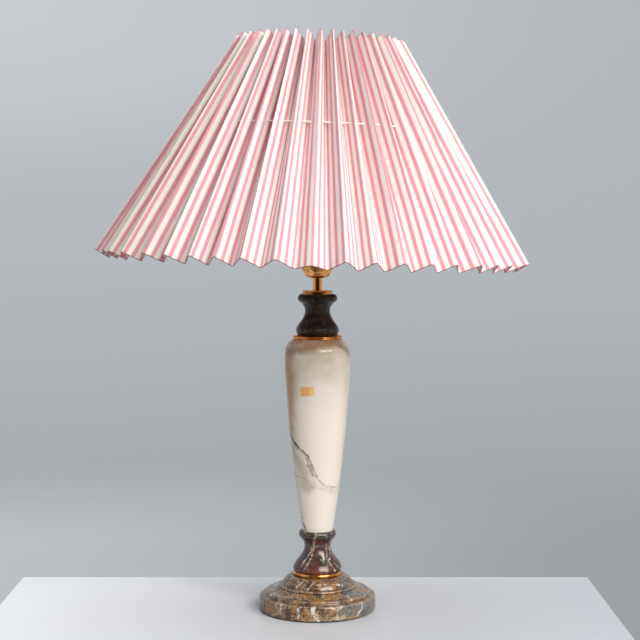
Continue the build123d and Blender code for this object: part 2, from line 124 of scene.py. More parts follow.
class Nodes:
    """A node tree while it is put together."""

    def __init__(self, tree: bpy.types.NodeTree) -> None:
        """Takes a tree.

        Args:
            tree: The tree.
        """
        self.tree = tree

    def node(self, kind: str, **settings: object) -> bpy.types.Node:
        """Adds a node.

        Args:
            kind: The node's type.
            settings: Its properties.

        Returns:
            The new node.
        """
        made = self.tree.nodes.new(kind)
        for name, value in settings.items():
            setattr(made, name, value)
        return made

    def feed(self, socket: bpy.types.NodeSocket, source: Source) -> None:
        """Links a socket to another node's output, or sets it to a plain value.

        Args:
            socket: The input.
            source: What goes into it.
        """
        if isinstance(source, bpy.types.NodeSocket):
            self.tree.links.new(source, socket)
        else:
            socket.default_value = source

    def feed_all(self, made: bpy.types.Node, values: dict[str, Source]) -> None:
        """Feeds several sockets of a node.

        Args:
            made: The node.
            values: What goes into each of its inputs, by name.
        """
        for name, value in values.items():
            self.feed(made.inputs[name], value)

    def axes(self, vector: Source) -> Sequence[bpy.types.NodeSocket]:
        """The three parts of a vector, as outputs named X, Y and Z."""
        made = self.node("ShaderNodeSeparateXYZ")
        self.feed(made.inputs["Vector"], vector)
        return made.outputs

    def place(self, stretch: Sequence[float] = (1, 1, 1), turn: Sequence[float] = (0, 0, 0)) -> Source:
        """Place on the piece, in millimetres.

        Args:
            stretch: Factors along the three axes.
            turn: Turns about the three axes, in degrees.

        Returns:
            A vector output.
        """
        mapping = self.node("ShaderNodeMapping", vector_type="TEXTURE")
        mapping.inputs["Rotation"].default_value = [radians(angle) for angle in turn]
        mapping.inputs["Scale"].default_value = [MM * factor for factor in stretch]
        self.feed(mapping.inputs["Vector"], self.node("ShaderNodeTexCoord").outputs["Object"])
        return mapping.outputs["Vector"]

    def noise(
        self, at: Source, size: float, seed: float = 0, detail: float = 3, rough: float = 0.5
    ) -> Source:
        """Cloudy noise from 0 to 1.

        Args:
            at: Where it is read.
            size: Width of its largest clouds.
            seed: Picks one noise among many.
            detail: Number of finer layers.
            rough: Share of each finer layer.

        Returns:
            A number output.
        """
        made = self.node("ShaderNodeTexNoise", noise_dimensions="4D")
        values = {"Vector": at, "W": seed, "Scale": 1 / size, "Detail": detail, "Roughness": rough}
        self.feed_all(made, values)
        return made.outputs["Fac"]

    def swirl(self, at: Source, size: float, amount: float, seed: float = 0) -> Source:
        """Moves a place about by a noise, so that what is read there flows.

        Args:
            at: The place.
            size: Width of the swirls.
            amount: How far it is moved at most.
            seed: Picks one noise among many.

        Returns:
            A vector output.
        """
        made = self.node("ShaderNodeTexNoise", noise_dimensions="4D")
        self.feed_all(made, {"Vector": at, "W": seed, "Scale": 1 / size, "Detail": 2})
        centred = self.node("ShaderNodeVectorMath", operation="SUBTRACT")
        self.feed(centred.inputs[0], made.outputs["Color"])
        self.feed(centred.inputs[1], (0.5, 0.5, 0.5))
        moved = self.node("ShaderNodeVectorMath", operation="MULTIPLY_ADD")
        self.feed(moved.inputs[0], centred.outputs["Vector"])
        self.feed(moved.inputs[1], (2 * amount,) * 3)
        self.feed(moved.inputs[2], at)
        return moved.outputs["Vector"]

    def cells(self, at: Source, size: float) -> Source:
        """Distance to the nearest edge of a crackle of cells, as a share of their size.

        Args:
            at: Where it is read.
            size: Width of a cell.

        Returns:
            A number output.
        """
        made = self.node("ShaderNodeTexVoronoi", feature="DISTANCE_TO_EDGE")
        self.feed_all(made, {"Vector": at, "Scale": 1 / size})
        return made.outputs["Distance"]

    def calc(self, operation: str, *values: Source) -> Source:
        """One sum.

        Args:
            operation: The Math node's operation.
            values: What goes in.

        Returns:
            A number output.
        """
        made = self.node("ShaderNodeMath", operation=operation)
        for socket, value in zip(made.inputs, values):
            self.feed(socket, value)
        return made.outputs["Value"]

    def fade(self, value: Source, full: float, none: float, strength: float = 1) -> Source:
        """A mask that falls smoothly from its strength to 0.

        Args:
            value: What the mask depends on.
            full: Where it is at its strength.
            none: Where it reaches 0.
            strength: Its highest value.

        Returns:
            A number output.
        """
        made = self.node("ShaderNodeMapRange", interpolation_type="SMOOTHSTEP")
        limits = {"From Min": full, "From Max": none, "To Min": strength, "To Max": 0}
        self.feed_all(made, {"Value": value, **limits})
        return made.outputs["Result"]

    def ramp(self, value: Source, *stops: tuple[float, Colour]) -> Source:
        """Colours along a number.

        Args:
            value: The number.
            stops: Places from 0 to 1 with the colour at each.

        Returns:
            A colour output.
        """
        made = self.node("ShaderNodeValToRGB")
        band = made.color_ramp.elements
        while len(band) < len(stops):
            band.new(1)
        for element, (position, colour) in zip(band, stops):
            element.position = position
            element.color = colour
        self.feed(made.inputs["Fac"], value)
        return made.outputs["Color"]

    def mix(self, share: Source, first: Source, second: Source, blend: str = "MIX") -> Source:
        """Two colours mixed.

        Args:
            share: Share of the second one.
            first: The ground.
            second: What is laid over it.
            blend: How it is laid.

        Returns:
            A colour output.
        """
        made = self.node("ShaderNodeMix", data_type="RGBA", blend_type=blend)
        for index, source in ((0, share), (6, first), (7, second)):
            self.feed(made.inputs[index], source)
        return made.outputs[2]


class Shader(Nodes):
    """The node tree of one material."""

    def __init__(self, name: str) -> None:
        """Starts a material with a bare surface.

        Args:
            name: The material's name.
        """
        self.material = bpy.data.materials.new(name)
        self.material.use_nodes = True
        super().__init__(self.material.node_tree)
        self.surface = self.tree.nodes["Principled BSDF"]

    def layer(self, name: str) -> Source:
        """A number that the mesh holds at each point, under a name."""
        return self.node("ShaderNodeAttribute", attribute_name=name).outputs["Fac"]

    def relief(self, height: Source, depth: float, strength: float = 1) -> None:
        """Raises the surface by a pattern.

        Args:
            height: The pattern, from 0 to 1.
            depth: Its depth in millimetres.
            strength: Share of it that shows.
        """
        made = self.node("ShaderNodeBump")
        self.feed_all(made, {"Strength": strength, "Distance": depth * MM, "Height": height})
        self.feed(self.surface.inputs["Normal"], made.outputs["Normal"])

    def set(self, **values: Source) -> bpy.types.Material:
        """Feeds the surface's own sockets.

        Args:
            values: Sockets by name, with _ for a space.

        Returns:
            The material.
        """
        for name, value in values.items():
            self.feed(self.surface.inputs[name.replace("_", " ")], value)
        return self.material


# ---- Finishes -------------------------------------------------------------

WEAR_ROUGHNESS = 0.14


@dataclass(frozen=True)
class Cloud:
    """Patches of one colour in a stone.

    Attributes:
        colour: Their colour.
        size: Their width in millimetres.
        above: Noise value above which they show: 0.5 gives half of the skin.
        edge: Softness of their edges, in noise values.
        seed: Picks their noise.
    """

    colour: Colour
    size: float
    above: float
    edge: float = 0.03
    seed: float = 1


@dataclass(frozen=True)
class Veins:
    """Thin wandering lines in a stone.

    Attributes:
        colour: Their colour.
        spacing: Distance between them, in millimetres.
        width: Their width, in noise values.
        cover: Noise value above which they show: 0.5 keeps half of them.
        strength: How far they cover the ground.
        seed: Picks their noise.
        stretch: Factors along the axes.
    """

    colour: Colour
    spacing: float
    width: float
    cover: float = 0.45
    strength: float = 0.9
    seed: float = 3
    stretch: tuple[float, float, float] = (1, 1, 1)


@dataclass(frozen=True)
class Laid:
    """How one layer of listed marks looks.

    Attributes:
        layer: The layer's name.
        colour: The marks' colour.
        soft: Width of their edges, in millimetres.
        ragged: How far their edges wander, in millimetres.
        grain: Size of the wandering, in millimetres.
        strength: How far they cover the ground.
        broken: Share of them that is lost where they break off, from 0 to 1.
    """

    layer: str
    colour: Colour
    soft: float
    ragged: float
    grain: float = 3
    strength: float = 1
    broken: float = 0


@dataclass(frozen=True)
class Stone:
    """A polished veined stone.

    Attributes:
        name: Name of the material.
        ground: Colours of the ground along its noise.
        size: Width of the ground's clouds, in millimetres.
        flow: How far the pattern is swirled, in millimetres.
        clouds: Patches over the ground.
        veins: Lines over the patches.
        crackle: Size of the crackled veins in millimetres, or 0 for none.
        crackle_colour: Their colour.
        laid: Marks listed one by one, over all the rest.
        rough: Roughness of the polish.
        index: How strongly the polish mirrors, as an index of refraction.
        glow: Share of light that goes through the skin.
        glow_depth: How deep it goes, in millimetres.
    """

    name: str
    ground: tuple[tuple[float, Colour], ...]
    size: float
    flow: float
    clouds: tuple[Cloud, ...] = ()
    veins: tuple[Veins, ...] = ()
    crackle: float = 0
    crackle_colour: Colour = tint(214, 204, 184)
    laid: tuple[Laid, ...] = ()
    rough: float = 0.16
    index: float = 1.52
    glow: float = 0
    glow_depth: float = 1

    def material(self) -> bpy.types.Material:
        """Builds the stone's material."""
        shader = Shader(self.name)
        skin = shader.place()
        flow = shader.swirl(skin, 2.2 * self.size, self.flow, seed=11)
        colour = shader.ramp(shader.noise(flow, self.size, seed=2, detail=6, rough=0.55), *self.ground)
        for cloud in self.clouds:
            field_value = shader.noise(flow, cloud.size, cloud.seed, detail=4, rough=0.55)
            mask = shader.fade(field_value, cloud.above + cloud.edge, cloud.above - cloud.edge)
            colour = shader.mix(mask, colour, cloud.colour)
        if self.crackle:
            colour = shader.mix(self.crackle_mask(shader, flow), colour, self.crackle_colour)
        for veins in self.veins:
            colour = shader.mix(self.vein_mask(shader, veins), colour, veins.colour)
        for laid in self.laid:
            colour = shader.mix(self.laid_mask(shader, skin, laid), colour, laid.colour)
        wear = shader.noise(skin, 1.6, seed=5, detail=5, rough=0.7)
        shader.relief(wear, 0.03, 0.25)
        gloss = shader.calc("MULTIPLY_ADD", wear, WEAR_ROUGHNESS, self.rough - WEAR_ROUGHNESS / 2)
        depths = (self.glow_depth, 0.72 * self.glow_depth, 0.5 * self.glow_depth)
        shader.set(Subsurface_Weight=self.glow, Subsurface_Radius=depths, Subsurface_Scale=MM)
        return shader.set(Base_Color=colour, Roughness=gloss, IOR=self.index)

    def crackle_mask(self, shader: Shader, flow: Source) -> Source:
        """Where the crackled veins show.

        Args:
            shader: The tree.
            flow: The swirled place.

        Returns:
            A number output.
        """
        bent = shader.swirl(flow, self.crackle / 2, self.crackle / 5, seed=13)
        line = shader.fade(shader.cells(bent, self.crackle), 0.015, 0.07)
        kept = shader.fade(shader.noise(flow, 1.4 * self.crackle, seed=9), 0.62, 0.54)
        return shader.calc("MULTIPLY", line, kept)

    def vein_mask(self, shader: Shader, veins: Veins) -> Source:
        """Where a set of veins shows.

        Args:
            shader: The tree.
            veins: The set.

        Returns:
            A number output.
        """
        skin = shader.swirl(shader.place(veins.stretch), 1.5 * veins.spacing, self.flow / 2, veins.seed)
        value = shader.noise(skin, veins.spacing, veins.seed, detail=3, rough=0.6)
        away = shader.calc("ABSOLUTE", shader.calc("SUBTRACT", value, 0.5))
        line = shader.fade(away, veins.width / 4, veins.width, veins.strength)
        kept = shader.noise(skin, 1.2 * veins.spacing, veins.seed + 20, detail=2)
        return shader.calc("MULTIPLY", line, shader.fade(kept, veins.cover + 0.05, veins.cover - 0.02))

    def laid_mask(self, shader: Shader, skin: Source, laid: Laid) -> Source:
        """Where one layer of listed marks shows.

        Args:
            shader: The tree.
            skin: The place on the piece.
            laid: The layer.

        Returns:
            A number output.
        """
        wander = shader.calc("SUBTRACT", shader.noise(skin, laid.grain, seed=7, detail=4), 0.5)
        edge = shader.calc("MULTIPLY_ADD", wander, 4 * laid.ragged, shader.layer(laid.layer))
        mask = shader.fade(edge, -laid.soft / 2, laid.soft / 2, laid.strength)
        if not laid.broken:
            return mask
        breaks = shader.noise(skin, 4.5, seed=19, detail=5, rough=0.65)
        lost = shader.fade(breaks, 0.42, 0.56, -laid.broken)
        return shader.calc("MULTIPLY", mask, shader.calc("ADD", lost, 1))


@dataclass(frozen=True)
class Metal:
    """A bare or plated metal.

    Attributes:
        name: Name of the material.
        bright: Colour where it is clean.
        dull: Colour where it has tarnished.
        rough: Roughness where it is clean.
        worn: Added roughness where it has tarnished.
        tarnish: Noise value above which it has tarnished.
        lines: Spacing of the fine turned lines in millimetres, or 0 for none.
    """

    name: str
    bright: Colour
    dull: Colour
    rough: float
    worn: float = 0.15
    tarnish: float = 0.56
    lines: float = 0.25

    def material(self) -> bpy.types.Material:
        """Builds the metal's material."""
        shader = Shader(self.name)
        skin = shader.place()
        cloud = shader.noise(skin, 5, seed=4, detail=5, rough=0.62)
        stain = shader.fade(cloud, self.tarnish + 0.09, self.tarnish - 0.09)
        specks = shader.fade(shader.noise(skin, 0.9, seed=6, detail=2), 0.74, 0.66, 0.5)
        spoiled = shader.calc("MAXIMUM", stain, specks)
        if self.lines:
            turned = shader.place((40 * self.lines, 40 * self.lines, self.lines))
            shader.relief(shader.noise(turned, 1, seed=8, detail=2), 0.012, 0.5)
        else:
            shader.relief(shader.noise(skin, 1.2, seed=8), 0.02, 0.4)
        shader.set(Metallic=1.0, Roughness=shader.calc("MULTIPLY_ADD", spoiled, self.worn, self.rough))
        return shader.set(Base_Color=shader.mix(spoiled, self.bright, self.dull))


@dataclass(frozen=True)
class Baked:
    """Porcelain, a pressed sleeve or a moulded plastic.

    Attributes:
        name: Name of the material.
        colour: Its colour.
        speck: Colour of its specks.
        rough: Its roughness.
        grain: Depth of its grain, in millimetres.
        glaze: Weight of a clear glaze over it.
    """

    name: str
    colour: Colour
    speck: Colour
    rough: float
    grain: float = 0.02
    glaze: float = 0

    def material(self) -> bpy.types.Material:
        """Builds the material."""
        shader = Shader(self.name)
        skin = shader.place()
        specks = shader.fade(shader.noise(skin, 0.8, seed=3, detail=2), 0.78, 0.68)
        cloud = shader.calc("MULTIPLY", shader.noise(skin, 9, seed=1), 0.35)
        colour = shader.mix(shader.calc("MAXIMUM", specks, cloud), self.colour, self.speck)
        grain = shader.noise(skin, 0.5, seed=2, detail=4)
        shader.relief(grain, self.grain, 0.6)
        shader.set(Coat_Weight=self.glaze, Coat_Roughness=0.05)
        return shader.set(Base_Color=colour, Roughness=shader.calc("MULTIPLY_ADD", grain, 0.12, self.rough))


@dataclass(frozen=True)
class Felt:
    """Pressed wool felt.

    Attributes:
        name: Name of the material.
        dark: Colour between its fibres.
        light: Colour of its fibres.
    """

    name: str = "pressed_felt"
    dark: Colour = tint(30, 34, 30)
    light: Colour = tint(78, 84, 74)

    def material(self) -> bpy.types.Material:
        """Builds the felt's material."""
        shader = Shader(self.name)
        fibres = shader.noise(shader.swirl(shader.place(), 1.5, 1.2), 0.35, seed=2, detail=6, rough=0.75)
        shader.relief(fibres, 0.3, 0.8)
        shader.set(Roughness=0.95, Sheen_Weight=0.4, Sheen_Roughness=0.5)
        return shader.set(Base_Color=shader.ramp(fibres, (0.38, self.dark), (0.66, self.light)))


@dataclass(frozen=True)
class OpalGlass:
    """White glass of a bulb, with its inside frosted.

    Attributes:
        name: Name of the material.
        colour: Its colour.
    """

    name: str = "opal_bulb_glass"
    colour: Colour = tint(246, 244, 238)

    def material(self) -> bpy.types.Material:
        """Builds the glass's material."""
        shader = Shader(self.name)
        cloud = shader.noise(shader.place(), 14, seed=1, detail=4)
        colour = shader.ramp(cloud, (0.35, tint(236, 233, 226)), (0.65, self.colour))
        shader.set(Transmission_Weight=0.25, Coat_Weight=0.6, Coat_Roughness=0.03)
        return shader.set(Base_Color=colour, Roughness=shader.calc("MULTIPLY_ADD", cloud, 0.1, 0.3))


@dataclass(frozen=True)
class StripedCloth:
    """Twill with narrow stripes along the folds, read from the flat sheet in metres.

    Attributes:
        name: Name of the material.
        ground: Colour between the stripes.
        stripe: Colour of the stripes.
        edging: Colour of the cut ends.
        period: Distance from stripe to stripe.
        stripe_width: Width of a stripe.
        sheet_height: Length of the cloth along the folds.
        rib: Distance from rib to rib of the twill.
        slub_length: Length of the thick places in its yarn.
        strength: How strongly the stripes show.
    """

    name: str = "striped_twill"
    ground: Colour = tint(247, 236, 229)
    stripe: Colour = tint(214, 120, 142)
    edging: Colour = tint(96, 22, 34)
    period: float = 8.0 * MM
    stripe_width: float = 3.6 * MM
    sheet_height: float = 263.6 * MM
    rib: float = 0.9 * MM
    slub_length: float = 30 * MM
    strength: float = 1.0

    def material(self) -> bpy.types.Material:
        """Builds the cloth's material."""
        shader = Shader(self.name)
        flat = shader.node("ShaderNodeUVMap", uv_map="flat").outputs["UV"]
        parts = shader.axes(flat)
        across, up = parts["X"], parts["Y"]
        twill = self.twill(shader, across, up)
        pink = self.stripes(shader, flat, across, twill)
        colour = shader.mix(pink, self.ground, self.stripe)
        slub = shader.node("ShaderNodeMapping")
        shader.feed_all(slub, {"Vector": flat, "Scale": (1 / self.rib, 1 / self.slub_length, 1)})
        yarn = shader.noise(slub.outputs["Vector"], 1, seed=4, detail=3, rough=0.6)
        colour = shader.mix(shader.fade(yarn, 0.3, 0.75, 0.3), colour, tint(226, 196, 196), "MULTIPLY")
        ends = shader.calc("MINIMUM", up, shader.calc("SUBTRACT", self.sheet_height, up))
        colour = shader.mix(shader.fade(ends, 0.3 * MM, 0.8 * MM, 0.85), colour, self.edging)
        shader.relief(shader.calc("MULTIPLY_ADD", yarn, 0.5, shader.calc("MULTIPLY", twill, 0.5)), 0.06, 0.35)
        shader.set(Sheen_Weight=0.1, Sheen_Roughness=0.5, Subsurface_Weight=0.55)
        shader.set(Subsurface_Radius=(2.6, 1.0, 0.9), Subsurface_Scale=MM)
        return shader.set(Base_Color=colour, Roughness=shader.calc("MULTIPLY_ADD", yarn, 0.1, 0.78))

    def twill(self, shader: Shader, across: Source, up: Source) -> Source:
        """The diagonal ribs of the weave.

        Args:
            shader: The tree.
            across: Place across the sheet.
            up: Place along the folds.

        Returns:
            A number output from 0 to 1.
        """
        rib = TURN / self.rib
        slant = shader.calc("MULTIPLY_ADD", across, 1.3 * rib, shader.calc("MULTIPLY", up, rib))
        return shader.calc("MULTIPLY_ADD", shader.calc("SINE", slant), 0.5, 0.5)

    def stripes(self, shader: Shader, flat: Source, across: Source, twill: Source) -> Source:
        """Where the stripes show.

        Args:
            shader: The tree.
            flat: Place on the flat sheet.
            across: Place across the sheet.
            twill: The ribs of the weave.

        Returns:
            A number output from 0 to 1.
        """
        drift = shader.calc("MULTIPLY", shader.noise(flat, 40 * MM, seed=2), 1.2 * MM)
        steps = shader.calc("DIVIDE", shader.calc("ADD", across, drift), self.period)
        place = shader.calc("ABSOLUTE", shader.calc("SUBTRACT", shader.calc("FRACT", steps), 0.5))
        half = self.stripe_width / self.period / 2
        band = shader.fade(place, 0.45 * half, 1.5 * half, self.strength)
        return shader.calc("MULTIPLY", band, shader.calc("MULTIPLY_ADD", twill, 0.4, 0.6))


@dataclass(frozen=True)
class CutEdge:
    """The dark cut end of the cloth on its card.

    Attributes:
        name: Name of the material.
    """

    name: str = "cut_edge"

    def material(self) -> bpy.types.Material:
        """Builds the edge's material."""
        shader = Shader(self.name)
        fray = shader.noise(shader.place(), 0.8, seed=3, detail=4)
        shader.relief(fray, 0.1, 0.5)
        return shader.set(
            Base_Color=shader.ramp(fray, (0.35, tint(84, 18, 30)), (0.7, tint(168, 84, 92))),
            Roughness=0.85,
        )


@dataclass(frozen=True)
class Yarn:
    """Waxed cotton thread.

    Attributes:
        name: Name of the material.
    """

    name: str = "waxed_thread"

    def material(self) -> bpy.types.Material:
        """Builds the thread's material."""
        shader = Shader(self.name)
        fibres = shader.noise(shader.place(), 0.3, seed=5, detail=4, rough=0.65)
        shader.relief(fibres, 0.05, 0.6)
        shader.set(Roughness=0.6, Sheen_Weight=0.2)
        colour = shader.ramp(fibres, (0.3, tint(214, 202, 180)), (0.6, tint(250, 243, 230)))
        return shader.set(Base_Color=colour)


CLEAN_BRASS = tint(236, 170, 96)
DULL_BRASS = tint(160, 98, 50)
OCHRE_GROUND = (
    (0.30, tint(52, 44, 40)),
    (0.40, tint(86, 66, 50)),
    (0.47, tint(124, 88, 56)),
    (0.53, tint(156, 112, 66)),
    (0.60, tint(138, 98, 60)),
    (0.68, tint(104, 90, 72)),
    (0.78, tint(92, 90, 82)),
)
RED_GROUND = (
    (0.30, tint(44, 37, 36)),
    (0.40, tint(62, 42, 39)),
    (0.48, tint(86, 46, 39)),
    (0.56, tint(98, 52, 40)),
    (0.65, tint(74, 50, 47)),
    (0.76, tint(62, 53, 50)),
)
DARK_GROUND = (
    (0.34, tint(24, 20, 18)),
    (0.48, tint(35, 30, 25)),
    (0.60, tint(46, 38, 32)),
    (0.74, tint(66, 60, 50)),
)
ALABASTER_GROUND = (
    (0.33, tint(206, 195, 176)),
    (0.48, tint(215, 205, 188)),
    (0.66, tint(224, 215, 200)),
)

FINISHES = {
    Slot.FELT: Felt(),
    Slot.OCHRE_MARBLE: Stone(
        name="ochre_breccia",
        ground=OCHRE_GROUND,
        size=15,
        flow=8,
        clouds=(
            Cloud(tint(80, 54, 40), 12, 0.56, seed=1),
            Cloud(tint(112, 106, 92), 7, 0.60, edge=0.07, seed=21),
            Cloud(tint(66, 56, 50), 5, 0.60, edge=0.05, seed=31),
            Cloud(tint(176, 146, 102), 3.2, 0.60, edge=0.05, seed=41),
            Cloud(tint(58, 44, 38), 1.8, 0.62, edge=0.04, seed=51),
            Cloud(tint(196, 186, 166), 1.5, 0.66, edge=0.04, seed=61),
        ),
        veins=(
            Veins(tint(190, 178, 154), 12, 0.007, cover=0.58, strength=0.75, seed=3, stretch=(1, 1, 1.8)),
            Veins(tint(206, 200, 186), 20, 0.007, cover=0.55, strength=0.8, seed=17),
            Veins(tint(50, 40, 36), 9, 0.014, cover=0.50, strength=0.6, seed=23),
        ),
        crackle=15,
        crackle_colour=tint(164, 150, 126),
        laid=(
            Laid("slate", tint(104, 112, 116), soft=6, ragged=6, grain=2.6, strength=0.7, broken=0.5),
            Laid("olive", tint(62, 58, 44), soft=8, ragged=4, grain=3.5, strength=0.75, broken=0.4),
            Laid("bark", tint(66, 46, 36), soft=7, ragged=4, grain=3.5, strength=0.75, broken=0.3),
            Laid("pale", tint(216, 212, 202), soft=1.1, ragged=1.1, grain=3.2, strength=0.9, broken=0.6),
            # Painted shade, laid dark in the foot's grooves and creases.
            Laid("grime", tint(34, 28, 24), soft=0.9, ragged=0.2, grain=4, strength=0.85),
            # Painted highlight, laid pale along the foot's rounded edges.
            Laid("worn", tint(196, 178, 150), soft=0.8, ragged=0.35, grain=3, strength=0.6),
        ),
        rough=0.19,
    ),
    Slot.RED_MARBLE: Stone(
        name="red_breccia",
        ground=RED_GROUND,
        size=9,
        flow=6,
        clouds=(
            Cloud(tint(56, 48, 48), 7, 0.56, edge=0.06, seed=1),
            Cloud(tint(124, 76, 54), 5, 0.63, seed=15),
            Cloud(tint(150, 104, 80), 1.6, 0.66, edge=0.04, seed=27),
            Cloud(tint(38, 30, 30), 1.9, 0.62, edge=0.04, seed=37),
        ),
        veins=(
            Veins(tint(184, 178, 156), 11, 0.010, cover=0.57, strength=0.8, seed=3, stretch=(1, 1, 2.2)),
            Veins(tint(74, 84, 70), 12, 0.018, cover=0.52, strength=0.7, seed=8, stretch=(1, 1, 2)),
        ),
        laid=(
            Laid("dusk", tint(58, 58, 52), soft=5, ragged=2.5, grain=5, strength=0.85),
            Laid("ember", tint(126, 62, 34), soft=5, ragged=1.5, grain=5, strength=0.6),
            Laid("sage", tint(140, 148, 134), soft=1.5, ragged=1.7, grain=3, strength=0.85, broken=0.6),
            Laid("pale", tint(206, 198, 180), soft=1.0, ragged=1.3, grain=3, strength=0.88, broken=0.65),
            # Painted shade, laid dark in the crease under the spool's top bead.
            Laid("grime", tint(26, 20, 18), soft=0.8, ragged=0.2, grain=4, strength=0.8),
        ),
        rough=0.22,
    ),
    Slot.DARK_MARBLE: Stone(
        name="dark_marble",
        ground=DARK_GROUND,
        size=8,
        flow=5,
        clouds=(
            Cloud(tint(66, 50, 38), 8, 0.55, edge=0.06, seed=1),
            Cloud(tint(48, 55, 41), 6, 0.57, edge=0.05, seed=9),
            Cloud(tint(126, 116, 104), 1.8, 0.66, seed=19),
        ),
        veins=(Veins(tint(112, 106, 96), 11, 0.010, cover=0.54, strength=0.6, seed=3),),
        rough=0.32,
        index=1.36,
    ),
    Slot.ALABASTER: Stone(
        name="veined_alabaster",
        ground=ALABASTER_GROUND,
        size=34,
        flow=9,
        clouds=(Cloud(tint(205, 190, 166), 24, 0.57, edge=0.12, seed=6),),
        veins=(
            Veins(tint(176, 164, 146), 40, 0.008, cover=0.54, strength=0.3, seed=3),
            Veins(tint(198, 184, 164), 20, 0.014, cover=0.56, strength=0.3, seed=12),
        ),
        laid=(
            Laid("milk", tint(226, 217, 206), soft=14, ragged=4, grain=20, strength=0.9),
            # Partly the stone's own tan, partly painted shade down the column's left side and along its top.
            Laid("tan", tint(184, 134, 88), soft=18, ragged=4, grain=14, strength=0.9),
            Laid("umber", tint(146, 104, 70), soft=10, ragged=2.8, grain=9, strength=0.75),
            Laid("smoke", tint(164, 152, 130), soft=10, ragged=3, grain=8, strength=0.6),
            Laid("soot", tint(122, 106, 86), soft=5, ragged=2.2, grain=5, strength=0.6),
            Laid("amber", tint(224, 158, 84), soft=2.8, ragged=1.3, grain=4, strength=0.85),
            Laid("honey", tint(238, 202, 128), soft=4, ragged=1.3, grain=4, strength=0.75),
            Laid("halo", tint(134, 124, 108), soft=3.4, ragged=1.8, grain=4, strength=0.6),
            Laid("hair", tint(136, 114, 90), soft=1.7, ragged=1.0, grain=3, strength=0.75),
            Laid("crack", tint(72, 62, 54), soft=1.3, ragged=1.2, grain=3, strength=0.95),
        ),
        rough=0.17,
        glow=0.35,
        glow_depth=4,
    ),
    Slot.BRASS: Metal("polished_brass", CLEAN_BRASS, DULL_BRASS, rough=0.14),
    Slot.STEEL: Metal("plated_steel", tint(190, 192, 194), tint(128, 124, 118), rough=0.3, lines=0),
    Slot.BLACK_BUSH: Baked("black_nylon", tint(18, 18, 19), tint(52, 52, 54), rough=0.38),
    Slot.PORCELAIN: Baked("glazed_porcelain", tint(238, 235, 228), tint(206, 200, 188), 0.2, glaze=0.8),
    Slot.CONTACT_STRIP: Metal("rolled_brass", tint(222, 184, 112), tint(150, 112, 62), rough=0.26, lines=0),
    Slot.SLEEVE: Baked("pressed_sleeve", tint(226, 223, 212), tint(196, 188, 170), rough=0.7, grain=0.05),
    Slot.SWITCH_BAR: Metal("turned_brass", CLEAN_BRASS, DULL_BRASS, rough=0.18, lines=0),
    Slot.SOLDER: Metal("tinned_solder", tint(196, 198, 202), tint(142, 142, 144), rough=0.34, lines=0),
    Slot.CAP_INSULATOR: Baked("black_glass", tint(12, 12, 16), tint(40, 40, 46), rough=0.12, glaze=0.5),
    Slot.BULB_CAP: Metal("rolled_aluminium", tint(206, 207, 209), tint(150, 150, 150), rough=0.28, lines=0),
    Slot.OPAL_GLASS: OpalGlass(),
    Slot.CARRIER_WIRE: Metal("plated_wire", tint(214, 170, 96), tint(146, 102, 54), rough=0.24, lines=0),
    Slot.STRIPED_SHEET: StripedCloth(),
    Slot.THREAD: Yarn(),
}


class Palette:
    """Makes each finish once, and dresses pieces in it."""

    def __init__(self) -> None:
        """Starts with nothing made."""
        self.made: dict[str, bpy.types.Material] = {}

    def material(self, finish: object) -> bpy.types.Material:
        """The material of a finish, made when it is first asked for.

        Args:
            finish: One of the finishes above.

        Returns:
            Its material.
        """
        if finish.name not in self.made:
            self.made[finish.name] = finish.material()
        return self.made[finish.name]

    def dress_node(self, node: bpy.types.Object) -> None:
        """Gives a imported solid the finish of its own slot.

        Args:
            node: The solid.
        """
        slot = Slot(node.material_slots[0].material.name)
        for holder in node.material_slots:
            holder.material = self.material(FINISHES[slot])

    def dress(self, piece: bpy.types.Object, slot: Slot, *others: object) -> None:
        """Gives a new piece its finish.

        Args:
            piece: The piece.
            slot: The slot that it belongs to.
            others: Finishes for its further faces.
        """
        piece.data.materials.clear()
        for finish in (FINISHES[slot], *others):
            piece.data.materials.append(self.material(finish))


PALETTE = Palette()


# ---- Modelling ------------------------------------------------------------


def clear_selection() -> None:
    """Leaves nothing selected."""
    bpy.ops.object.select_all(action="DESELECT")


def activate(*pieces: bpy.types.Object) -> None:
    """Selects some pieces and nothing else, with the first one active."""
    clear_selection()
    for piece in pieces:
        piece.select_set(True)
    bpy.context.view_layer.objects.active = pieces[0]


def added(name: str) -> bpy.types.Object:
    """Names the piece that an operator has just added, and gives it back."""
    piece = bpy.context.object
    piece.name = piece.data.name = name
    return piece


def box_mm(node: str) -> tuple[Vector, Vector]:
    """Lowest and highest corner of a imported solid, in millimetres."""
    low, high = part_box(node)
    return low / MM, high / MM


@contextmanager
def editing(piece: bpy.types.Object, points: np.ndarray | None = None) -> Iterator[None]:
    """Edit mode on one piece, with its whole mesh selected, or some of its points.

    Args:
        piece: The piece.
        points: True for each point that is to be selected.

    Yields:
        Nothing.
    """
    activate(piece)
    bpy.ops.object.mode_set(mode="EDIT")
    bpy.ops.mesh.select_mode(type="VERT")
    bpy.ops.mesh.select_all(action="SELECT" if points is None else "DESELECT")
    if points is not None:
        bpy.ops.object.mode_set(mode="OBJECT")
        piece.data.vertices.foreach_set("select", points)
        bpy.ops.object.mode_set(mode="EDIT")
    yield
    bpy.ops.object.mode_set(mode="OBJECT")


def apply_modifier(piece: bpy.types.Object, kind: str, **settings: object) -> None:
    """Adds a modifier and applies it.

    Args:
        piece: The piece.
        kind: The modifier's type.
        settings: Its properties.
    """
    activate(piece)
    made = piece.modifiers.new(kind.lower(), kind)
    for name, value in settings.items():
        setattr(made, name, value)
    bpy.ops.object.modifier_apply(modifier=made.name)


def smooth(piece: bpy.types.Object, limit: float = 35) -> None:
    """Shades a piece smooth, with the edges sharper than a limit kept crisp.

    Args:
        piece: The piece.
        limit: The limit in degrees.
    """
    activate(piece)
    bpy.ops.object.shade_smooth_by_angle(angle=radians(limit))


